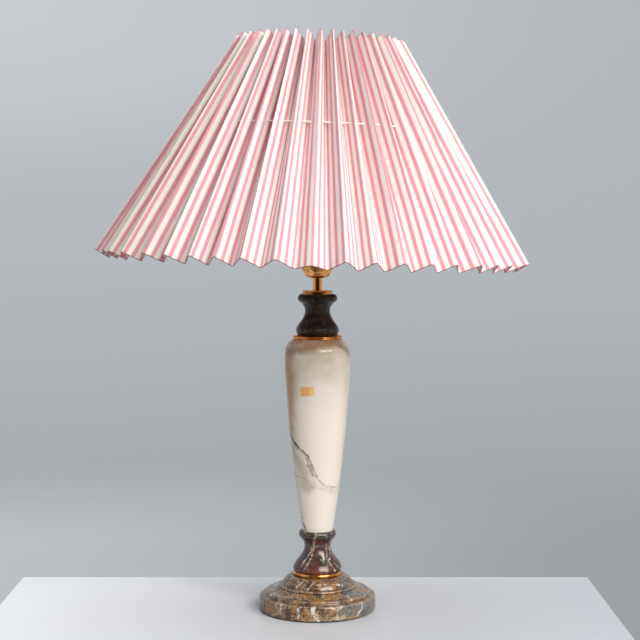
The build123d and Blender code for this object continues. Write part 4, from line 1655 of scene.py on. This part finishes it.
@dataclass
class Lampholder:
    """The threads, nut and ring of the lampholder, in millimetres.

    Attributes:
        barrel_radius: Outer radius of the barrel.
        thread_top: Height of the barrel's thread.
        thread_height: Height of its ridges.
        thread_pitch: Distance from ridge to ridge.
        thread_clear: How far its root stands off the barrel.
        thread_sink: How far its body reaches into the barrel's wall.
        screw_pitch: Pitch of the screw shell that takes the bulb.
        screw_depth: Depth of the shell's thread.
        rib_count: Number of ribs around the shade ring.
        rib_depth: Depth of the grooves between them.
        rib_sharpness: How steep the grooves' sides are.
        ring_bore: Radius of the shade ring's hole.
        ring_bevel: Size of the bevels on its edges.
        grip_margins: Plain heights below and above its ribs.
    """

    barrel_radius: float = 19.6
    thread_top: float = 407.0
    thread_height: float = 0.26
    thread_pitch: float = 2.0
    thread_clear: float = 0.02
    thread_sink: float = 0.4
    screw_pitch: float = 3.6
    screw_depth: float = 0.38
    rib_count: int = 54
    rib_depth: float = 0.5
    rib_sharpness: float = 1.6
    ring_bore: float = 19.95
    ring_bevel: float = 0.7
    grip_margins: tuple[float, float] = (1.5, 1.3)

    def build(self) -> None:
        """Makes the locknut, the barrel's thread, the screw shell and the shade ring."""
        locknut = hex_nut("cap_locknut_chamfered", "cap_locknut")
        put_in(locknut, Body.STAND, Slot.BRASS, "cap_locknut")
        put_in(self.barrel_thread(), Body.STAND, Slot.BRASS)
        put_in(self.screw_shell(), Body.STAND, Slot.CONTACT_STRIP, "screw_shell")
        put_in(self.shade_ring(), Body.RING, Slot.BRASS, "shade_ring")

    def barrel_thread(self) -> bpy.types.Object:
        """The thread that the shade ring screws onto."""
        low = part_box("fitter_ring")[0].z / MM
        root = self.barrel_radius + self.thread_clear
        inside = self.barrel_radius - self.thread_sink
        drawn = Section((inside, low), step=0.25).line((root, low)).wall((root, self.thread_top))
        thread = drawn.line((inside, self.thread_top)).turned("barrel_thread", 120)

        def ridge(angle: np.ndarray, radius: np.ndarray, height: np.ndarray) -> np.ndarray:
            """Radius with the ridges on the outside."""
            wave = self.thread_height * helix(angle, height, self.thread_pitch)
            rise = wave * ease(height, low, self.thread_top)
            return np.where(radius > root - NEAR, radius + rise, radius)

        reshape_round(thread, ridge)
        smooth(thread, 50)
        return thread

    def screw_shell(self) -> bpy.types.Object:
        """The thin threaded shell that takes the bulb."""
        low, high = box_mm("screw_shell")
        outer, wall, step = high.x, 0.5, 0.45
        drawn = Section((outer - wall, low.z), step=step).line((outer, low.z)).wall((outer, high.z))
        drawn.line((outer - wall, high.z)).wall((outer - wall, low.z + step))
        shell = drawn.turned("threaded_screw_shell", 96)

        def rolled(angle: np.ndarray, radius: np.ndarray, height: np.ndarray) -> np.ndarray:
            """Radius with the thread rolled into both faces of the shell."""
            wave = self.screw_depth * (1 - helix(angle, height, self.screw_pitch))
            return radius - wave * ease(height, low.z, high.z)

        reshape_round(shell, rolled)
        smooth(shell, 50)
        return shell

    def shade_ring(self) -> bpy.types.Object:
        """The ring that holds the frame down, with grips around it."""
        low, high = box_mm("shade_ring")
        outer, bore, bevel = high.x, self.ring_bore, self.ring_bevel
        grip_low, grip_high = low.z + self.grip_margins[0], high.z - self.grip_margins[1]
        drawn = Section((bore, low.z), step=0.6).line((outer - bevel, low.z), (outer, low.z + bevel))
        drawn.wall((outer, high.z - bevel)).line((outer - bevel, high.z), (bore, high.z))
        ring = drawn.turned("ribbed_shade_ring", 6 * self.rib_count)

        def grip(angle: np.ndarray, radius: np.ndarray, height: np.ndarray) -> np.ndarray:
            """Radius with grooves between the ribs."""
            wave = np.clip(self.rib_sharpness * np.cos(angle * self.rib_count), 0, 1)
            groove = wave * ease(height, grip_low, grip_high, 0.5)
            return np.where(radius > outer - NEAR, radius - self.rib_depth * groove, radius)

        reshape_round(ring, grip)
        smooth(ring, 28)
        return ring


@dataclass
class Bulb:
    """The screw cap of the bulb, in millimetres.

    Attributes:
        pitch: Distance from ridge to ridge of its thread.
        depth: Depth of the thread.
        wall: Thickness of the cap.
        plain: Height of the plain collar above the thread.
        end_inset: How far inside the wall the flat end stops.
        slope: Where the slope beside the end turns: in from the wall, and up from the end.
        wall_start: Height above the end at which the wall starts.
        floor_inset: How far inside the wall the floor stops.
    """

    pitch: float = 3.6
    depth: float = 0.7
    wall: float = 0.5
    plain: float = 4.0
    end_inset: float = 1.6
    slope: Point = (0.4, 1.2)
    wall_start: float = 2.0
    floor_inset: float = 0.6

    def build(self) -> None:
        """Makes the cap."""
        low, high = box_mm("bulb_cap")
        outer, inner = high.x, high.x - self.wall
        turn_in, turn_height = self.slope[0], low.z + self.slope[1]
        start, floor = low.z + self.wall_start, low.z + self.wall
        drawn = Section((0, low.z), step=0.4).line((outer - self.end_inset, low.z))
        drawn.wall((outer - turn_in, turn_height), (outer, start), (outer, high.z)).line((inner, high.z))
        drawn.wall((inner, start), (inner - self.floor_inset, floor)).line((0, floor))
        cap = drawn.turned("threaded_bulb_cap", 96)

        def rolled(angle: np.ndarray, radius: np.ndarray, height: np.ndarray) -> np.ndarray:
            """Radius with the thread rolled into the wall."""
            wave = (1 - helix(angle, height, self.pitch)) * ease(height, turn_height, high.z - self.plain)
            return np.where(radius > inner - 2 * NEAR, radius - self.depth * wave, radius)

        reshape_round(cap, rolled)
        smooth(cap, 50)
        put_in(cap, Body.BULB, Slot.BULB_CAP, "bulb_cap")


# ---- The shade and its frame ----------------------------------------------


@dataclass
class Lean:
    """The way the hoop and the shade lean, in metres and degrees.

    Attributes:
        height: Height on the lamp's axis that they lean about.
        angle: How far they lean to the right.
    """

    height: float = 0.5
    angle: float = 2.1

    def matrix(self) -> Matrix:
        """Takes the shade's own axis, with its levels from the leaning point, to the lamp."""
        return Matrix.Translation((0, 0, self.height)) @ Matrix.Rotation(radians(self.angle), 4, "Y")


@dataclass
class Welds:
    """The beads that join the wires of the frame, in millimetres.

    Attributes:
        arms: Number of arms.
        hoop_radius: Radius of the hoop.
        hoop_level: Level of the hoop on the shade's axis.
        foot_radius: Distance of the arms' feet from the axis.
        bead: Radius of a bead.
        inset: How far inside the hoop's middle a bead sits.
        drop: How far below the hoop's middle a bead sits.
        lift: How far above the plate a bead sits.
        stretch: How a bead is drawn out along, across and up.
    """

    arms: int = 3
    hoop_radius: float = 119.8
    hoop_level: float = -6.0
    foot_radius: float = 26.0
    bead: float = 2.2
    inset: float = 1.6
    drop: float = 0.6
    lift: float = 0.8
    stretch: tuple[float, float, float] = (1.25, 1.0, 0.82)

    def build(self, lean: Lean) -> None:
        """Makes the beads.

        Args:
            lean: How the hoop leans.
        """
        plate_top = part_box("fitter_ring")[1].z
        beads = []
        for arm in range(self.arms):
            turn = pi / 2 + arm * TURN / self.arms
            way = Vector((cos(turn), sin(turn), 0))
            below_hoop = Vector((0, 0, self.hoop_level - self.drop))
            on_hoop = lean.matrix() @ (((self.hoop_radius - self.inset) * way + below_hoop) * MM)
            on_plate = self.foot_radius * MM * way + Vector((0, 0, plate_top + self.lift * MM))
            beads += [self.one(on_hoop, turn), self.one(on_plate, turn)]
        activate(*beads)
        bpy.ops.object.join()
        beads[0].name = beads[0].data.name = "weld_beads"
        put_in(beads[0], Body.CARRIER, Slot.CARRIER_WIRE)

    def one(self, place: Vector, turn: float) -> bpy.types.Object:
        """One bead, drawn out along its arm.

        Args:
            place: Its middle.
            turn: Direction of the arm.

        Returns:
            The bead.
        """
        clear_selection()
        bpy.ops.mesh.primitive_uv_sphere_add(segments=20, ring_count=12, radius=self.bead * MM)
        bead = bpy.context.object
        with editing(bead):
            bpy.ops.transform.resize(value=self.stretch)
        bead.data.transform(Matrix.Translation(place) @ Matrix.Rotation(turn, 4, "Z"))
        smooth(bead, 60)
        return bead


@dataclass
class Shade:
    """The pleated cloth shade, folded from one flat sheet, in millimetres.

    Levels run along the shade's own axis, up from the point that it leans about.

    Attributes:
        pleats: Number of pleats.
        face: Width of the sheet from fold to fold.
        fold_length: Length of the sheet along the folds.
        thickness: Thickness of the sheet.
        ridge: Radius and level of the ridges' lower and upper ends.
        valley: Radius and level of the valleys' lower and upper ends.
        first_fold: The valley at the back where the sheet's ends are joined.
        crispness: How sharp the folds are, up to 1.
        turn: Turn of all the pleats, in degrees.
        waves: How uneven the pleats are: size in degrees, waves around, phase in degrees.
        columns: Where the sheet is divided between two folds.
        rows: Number of divisions along the folds.
        slack_fold: The ridge at the front that sags.
        slack: How much lower it ends.
        strand_lay: Length of a twist of the threads, in half thicknesses.
        strand_waist: Thickness between the two strands, as a share of the whole.
    """

    pleats: int = 46
    face: float = 21.4
    fold_length: float = 263.6
    thickness: float = 0.6
    ridge: tuple[Point, Point] = ((222.5, -134.5), (86.0, 91.0))
    valley: tuple[Point, Point] = ((209.6, -142.3), (68.0, 80.1))
    first_fold: int = 24
    crispness: float = 0.955
    turn: float = -0.5
    waves: tuple[tuple[float, int, float], ...] = ((1.2, 2, 350.0), (0.6, 6, 175.0), (0.45, 9, 140.0))
    columns: tuple[float, ...] = (0, 0.05, 0.13, 0.28, 0.5, 0.72, 0.87, 0.95)
    rows: int = 26
    slack_fold: int = 69
    slack: float = 4.5
    strand_lay: float = 5
    strand_waist: float = 0.62

    def build(self, lean: Lean) -> None:
        """Makes the sheet and the two threads through it.

        Args:
            lean: How the shade leans.
        """
        sheet = self.flat_sheet()
        self.fold(sheet)
        with editing(sheet):
            bpy.ops.mesh.remove_doubles(threshold=FOLD_MERGE_GAP)
            bpy.ops.mesh.normals_make_consistent(inside=False)
        apply_modifier(
            sheet, "SOLIDIFY", thickness=self.thickness * MM, offset=0, use_even_offset=True,
            material_offset=1, material_offset_rim=2,
        )
        sheet.data.transform(lean.matrix())
        smooth(sheet, 50)
        lining = StripedCloth(
            name="lining", ground=tint(240, 232, 222), stripe=tint(226, 170, 176), strength=0.45
        )
        put_in(sheet, Body.SHADE, Slot.STRIPED_SHEET, "pleated_shade", others=(lining, CutEdge()))
        threads = [self.thread(node, lean) for node in ("main_thread", "top_thread")]

    def flat_sheet(self) -> bpy.types.Object:
        """The sheet before it is folded, with its flat places kept as its UV map."""
        clear_selection()
        cells = 2 * self.pleats * len(self.columns)
        bpy.ops.mesh.primitive_grid_add(x_subdivisions=cells, y_subdivisions=self.rows, size=1)
        sheet = added("striped_shade")
        places = points_of(sheet)
        step = np.rint((places[:, 0] + 0.5) * cells).astype(int)
        fold, column = np.divmod(step, len(self.columns))
        places[:, 0] = (fold + np.array(self.columns)[column]) * self.face * MM
        places[:, 1] = (places[:, 1] + 0.5) * self.fold_length * MM
        move_points(sheet, places)
        sheet.data.uv_layers[0].name = "flat"
        corners = np.empty(len(sheet.data.loops), int)
        sheet.data.loops.foreach_get("vertex_index", corners)
        sheet.data.uv_layers[0].data.foreach_set("uv", places[corners][:, :2].ravel())
        return sheet

    def fold(self, sheet: bpy.types.Object) -> None:
        """Folds the flat sheet into pleats around the axis.

        Args:
            sheet: The flat sheet.
        """
        across, up, _ = points_of(sheet).T / MM
        fold = self.first_fold + across / self.face
        share = (up / self.fold_length)[:, None]
        limit = np.arcsin(self.crispness)
        lift = (0.5 - np.arcsin(self.crispness * np.cos(pi * fold)) / (2 * limit))[:, None]
        valley = (1 - share) * np.array(self.valley[0]) + share * np.array(self.valley[1])
        ridge = (1 - share) * np.array(self.ridge[0]) + share * np.array(self.ridge[1])
        radius, level = ((1 - lift) * valley + lift * ridge).T
        sag = self.slack * np.clip(1 - np.abs(fold - self.slack_fold), 0, 1) * (1 - share[:, 0]) ** 1.5
        radius = radius + self.unevenness(fold, share[:, 0]) - 0.6 * sag
        level = level - sag
        even = fold * 180 / self.pleats
        drift = sum(size * np.sin(np.radians(count * even + start)) for size, count, start in self.waves)
        angle = np.radians(even + self.turn + drift)
        move_points(sheet, np.column_stack((radius * np.cos(angle), radius * np.sin(angle), level)) * MM)

    def unevenness(self, fold: np.ndarray, share: np.ndarray) -> np.ndarray:
        """How far the sheet stands out of true at each point.

        Args:
            fold: Place across the sheet, in folds.
            share: Place along the folds, from 0 at the bottom to 1 at the top.

        Returns:
            Distances outwards, in millimetres.
        """
        round_trip = fold * pi / self.pleats
        loose = 1.1 * np.sin(17 * round_trip + 1) + 0.8 * np.sin(29 * round_trip + 4)
        bow = 0.7 * np.sin(pi * share) * np.sin(23 * round_trip + 2)
        return loose * (1 - 0.65 * share) + bow

    def thread(self, node: str, lean: Lean) -> bpy.types.Object:
        """One of the threads that hold the pleats, twisted from two strands.

        Args:
            node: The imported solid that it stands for.
            lean: How the shade leans.

        Returns:
            The thread.
        """
        upright = lean.matrix().inverted()
        spots = np.array([upright @ vertex.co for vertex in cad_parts[node].data.vertices])
        radii = np.hypot(spots[:, 0], spots[:, 1])
        ring, level = (radii.min() + radii.max()) / 2, spots[:, 2].mean()
        half = (radii.max() - radii.min()) / 2
        twists = round(TURN * ring / (self.strand_lay * half))
        clear_selection()
        bpy.ops.mesh.primitive_torus_add(
            major_segments=6 * twists, minor_segments=10, major_radius=ring, minor_radius=half
        )
        thread = added(f"twisted_{node}")
        x, y, z = points_of(thread).T
        around, out = np.arctan2(y, x), np.hypot(x, y) - ring
        side = np.arctan2(z, out) - twists * around
        waist = self.strand_waist + (1 - self.strand_waist) * np.abs(np.cos(side))
        radius = ring + out * waist
        places = (radius * np.cos(around), radius * np.sin(around), z * waist + level)
        move_points(thread, np.column_stack(places))
        thread.data.transform(lean.matrix())
        smooth(thread, 80)
        put_in(thread, Body.SHADE, Slot.THREAD, node)
        return thread


# ---- The studio -----------------------------------------------------------


@dataclass(frozen=True)
class Softbox:
    """A soft lamp of the studio.

    Attributes:
        name: Its name.
        place: Where it stands.
        size: Its width and height.
        power: Its power in watts.
        colour: Its colour.
        aim: What it points at.
        mirrored: Whether polished pieces mirror it.
    """

    name: str
    place: tuple[float, float, float]
    size: tuple[float, float]
    power: float
    colour: tuple[float, float, float] = (1, 1, 1)
    aim: tuple[float, float, float] = (0, 0, 0.3)
    mirrored: bool = False

    def build(self) -> None:
        """Makes the lamp."""
        light = bpy.data.lights.new(self.name, "AREA")
        light.shape = "RECTANGLE"
        light.size, light.size_y = self.size
        light.energy, light.color = self.power, self.colour
        holder = bpy.data.objects.new(self.name, light)
        holder.location = self.place
        holder.rotation_euler = (Vector(self.aim) - Vector(self.place)).to_track_quat("-Z", "Y").to_euler()
        holder.visible_camera = False
        holder.visible_glossy = self.mirrored
        bpy.context.scene.collection.objects.link(holder)


@dataclass
class Studio:
    """A pale table top, a grey surround, soft lamps and the camera.

    Attributes:
        table_low: Lowest corner of the table's top, x and y.
        table_high: Highest corner of the table's top.
        table_depth: Thickness of the table's top.
        camera_place: Where the camera stands. It looks straight along +Y.
        lens: Focal length in millimetres, on a 36 mm wide sensor.
        horizon_shift: Shift of the picture that puts the horizon at its place.
        wall_tones: The wall's colours, from low to high.
        wall_span: How high the view points at the last of them and at the first.
        wall_strength: Strength of the wall on its dark side.
        side_span: How far the view points sideways on the wall's lit side and its dark one.
        contrasts: Where the two sides differ, high up and low down: most, none, and how much.
        least_contrast: How much they differ everywhere.
        room_tones: The room's colours, from behind the camera to the far side.
        room_span: How far the view points along the room at the last of them and at the first.
        room_strength: Strength of the room as a light, and what polished pieces see on top.
        table_painted_light_tones: The table's colours from left to right, lighter on the left as painted
            light.
        table_reach: Distance from the middle at which the first and the last are met, in millimetres.
        table_front: Where its front is painted dark for polished pieces to mirror, as shares of that
            distance: full, none, how much.
        table_painted_reflection: Colour of its front as polished pieces see it, a painted dark reflection.
        table_edge: Width of the table's eased edges.
        lamps: The soft lamps.
    """

    table_low: Point = (-0.3335, -0.42)
    table_high: Point = (0.305, 0.137)
    table_depth: float = 0.03
    camera_place: tuple[float, float, float] = (0.0026, -1.54, 0.397)
    lens: float = 83.4
    horizon_shift: float = -0.147
    wall_tones: tuple[tuple[float, Colour], ...] = (
        (0.03, tint(163, 168, 170)),
        (0.17, tint(173, 178, 181)),
        (0.60, tint(186, 191, 196)),
        (1.00, tint(190, 193, 198)),
    )
    wall_span: tuple[float, float] = (0.16, -0.26)
    wall_strength: float = 0.9
    side_span: tuple[float, float] = (-0.24, 0.24)
    contrasts: tuple[tuple[float, float, float], ...] = ((0.14, 0.0, 0.20), (-0.21, -0.15, 0.42))
    least_contrast: float = 0.04
    room_tones: tuple[tuple[float, Colour], ...] = ((0.0, tint(40, 38, 38)), (1.0, tint(204, 207, 212)))
    room_span: tuple[float, float] = (-0.3, -0.95)
    room_strength: tuple[float, float] = (0.47, 0.53)
    table_painted_light_tones: tuple[tuple[float, Colour], ...] = ((0.0, tint(241, 244, 246)), (1.0, tint(194, 198, 204)))
    table_reach: float = 300.0
    table_front: tuple[float, float, float] = (-0.85, -0.30, 0.85)
    table_painted_reflection: Colour = tint(44, 40, 38)
    table_edge: float = 0.0012
    lamps: tuple[Softbox, ...] = (
        Softbox("key_softbox", (0.90, -1.45, 1.15), (1.4, 0.9), 42, (1.0, 0.985, 0.96), mirrored=True),
        Softbox("fill_softbox", (-1.6, -1.0, 1.0), (1.2, 1.4), 2.5, (0.95, 0.975, 1.0)),
        Softbox("top_softbox", (-0.1, 0.35, 1.9), (1.4, 1.0), 14.5),
        Softbox("low_softbox", (0.3, -2.2, 0.45), (1.4, 1.0), 8, (1.0, 0.985, 0.95)),
    )

    def build(self) -> None:
        """Makes the whole studio."""
        self.table()
        self.surround()
        for lamp in self.lamps:
            lamp.build()
        data = bpy.data.cameras.new("camera")
        data.lens, data.sensor_width, data.shift_y = self.lens, SENSOR_WIDTH, self.horizon_shift
        camera = bpy.data.objects.new("camera", data)
        camera.location = self.camera_place
        camera.rotation_euler = (pi / 2, 0, 0)
        bpy.context.scene.collection.objects.link(camera)
        bpy.context.scene.camera = camera
        bpy.context.scene.view_settings.view_transform = "Standard"

    def table(self) -> None:
        """Makes the pale table top, with its edges eased."""
        low, high = self.table_low, self.table_high
        clear_selection()
        bpy.ops.mesh.primitive_cube_add(size=1)
        table = added("pale_table")
        size = (high[0] - low[0], high[1] - low[1], self.table_depth)
        middle = ((high[0] + low[0]) / 2, (high[1] + low[1]) / 2, -self.table_depth / 2)
        table.data.transform(Matrix.Translation(middle) @ Matrix.Diagonal((*size, 1)))
        apply_modifier(table, "BEVEL", width=self.table_edge, segments=2)
        shader = Shader("pale_lacquer")
        across = shader.axes(shader.place((self.table_reach,) * 3))
        side = shader.calc("MULTIPLY_ADD", across["X"], 0.5, 0.5)
        shader.relief(shader.noise(shader.place(), 1.5, seed=2), 0.01, 0.2)
        # Painted light: the table is coloured lighter on the left and darker on the right.
        pale = shader.ramp(side, *self.table_painted_light_tones)
        # Painted reflection: polished pieces see the table's front dark.
        mirrored = shader.node("ShaderNodeLightPath").outputs["Is Glossy Ray"]
        front = shader.fade(across["Y"], *self.table_front)
        dark = shader.calc("MULTIPLY", mirrored, front)
        shader.set(Base_Color=shader.mix(dark, pale, self.table_painted_reflection))
        table.data.materials.append(shader.set(Roughness=0.42))

    def surround(self) -> None:
        """Makes the surround: a grey wall to see, and a room that lights the lamp and is mirrored."""
        world = bpy.data.worlds.new("grey_surround")
        world.use_nodes = True
        nodes = Nodes(world.node_tree)
        way = nodes.axes(nodes.node("ShaderNodeTexCoord").outputs["Generated"])
        rays = nodes.node("ShaderNodeLightPath").outputs
        wall = nodes.ramp(nodes.fade(way["Z"], *self.wall_span), *self.wall_tones)
        high, low = (nodes.fade(way["Z"], *contrast) for contrast in self.contrasts)
        contrast = nodes.calc("ADD", nodes.calc("ADD", high, low), self.least_contrast)
        lit_side = nodes.calc("MULTIPLY", nodes.fade(way["X"], *self.side_span), contrast)
        room = nodes.ramp(nodes.fade(way["Y"], *self.room_span), *self.room_tones)
        lit, seen = self.room_strength
        backgrounds = (
            (wall, nodes.calc("ADD", lit_side, self.wall_strength)),
            (room, nodes.calc("MULTIPLY_ADD", rays["Is Glossy Ray"], seen, lit)),
        )
        split = nodes.node("ShaderNodeMixShader")
        nodes.feed(split.inputs[0], rays["Is Camera Ray"])
        for index, (colour, strength) in zip((2, 1), backgrounds):
            shown = nodes.node("ShaderNodeBackground")
            nodes.feed_all(shown, {"Color": colour, "Strength": strength})
            nodes.feed(split.inputs[index], shown.outputs["Background"])
        nodes.feed(nodes.tree.nodes["World Output"].inputs["Surface"], split.outputs["Shader"])
        bpy.context.scene.world = world


def main() -> None:
    """Builds the studio and the lamp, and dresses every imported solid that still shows."""
    logging.basicConfig(level=logging.INFO, format="%(message)s")
    lean = Lean()
    Studio().build()
    Foot().build()
    Column().build()
    Lampholder().build()
    Bulb().build()
    Welds().build(lean)
    Shade().build(lean)
    for name, node in sorted(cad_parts.items()):
        if not node.hide_render:
            PALETTE.dress_node(node)
            LOG.info("%s keeps its solid", name)


if __name__ == "__main__":
    main()
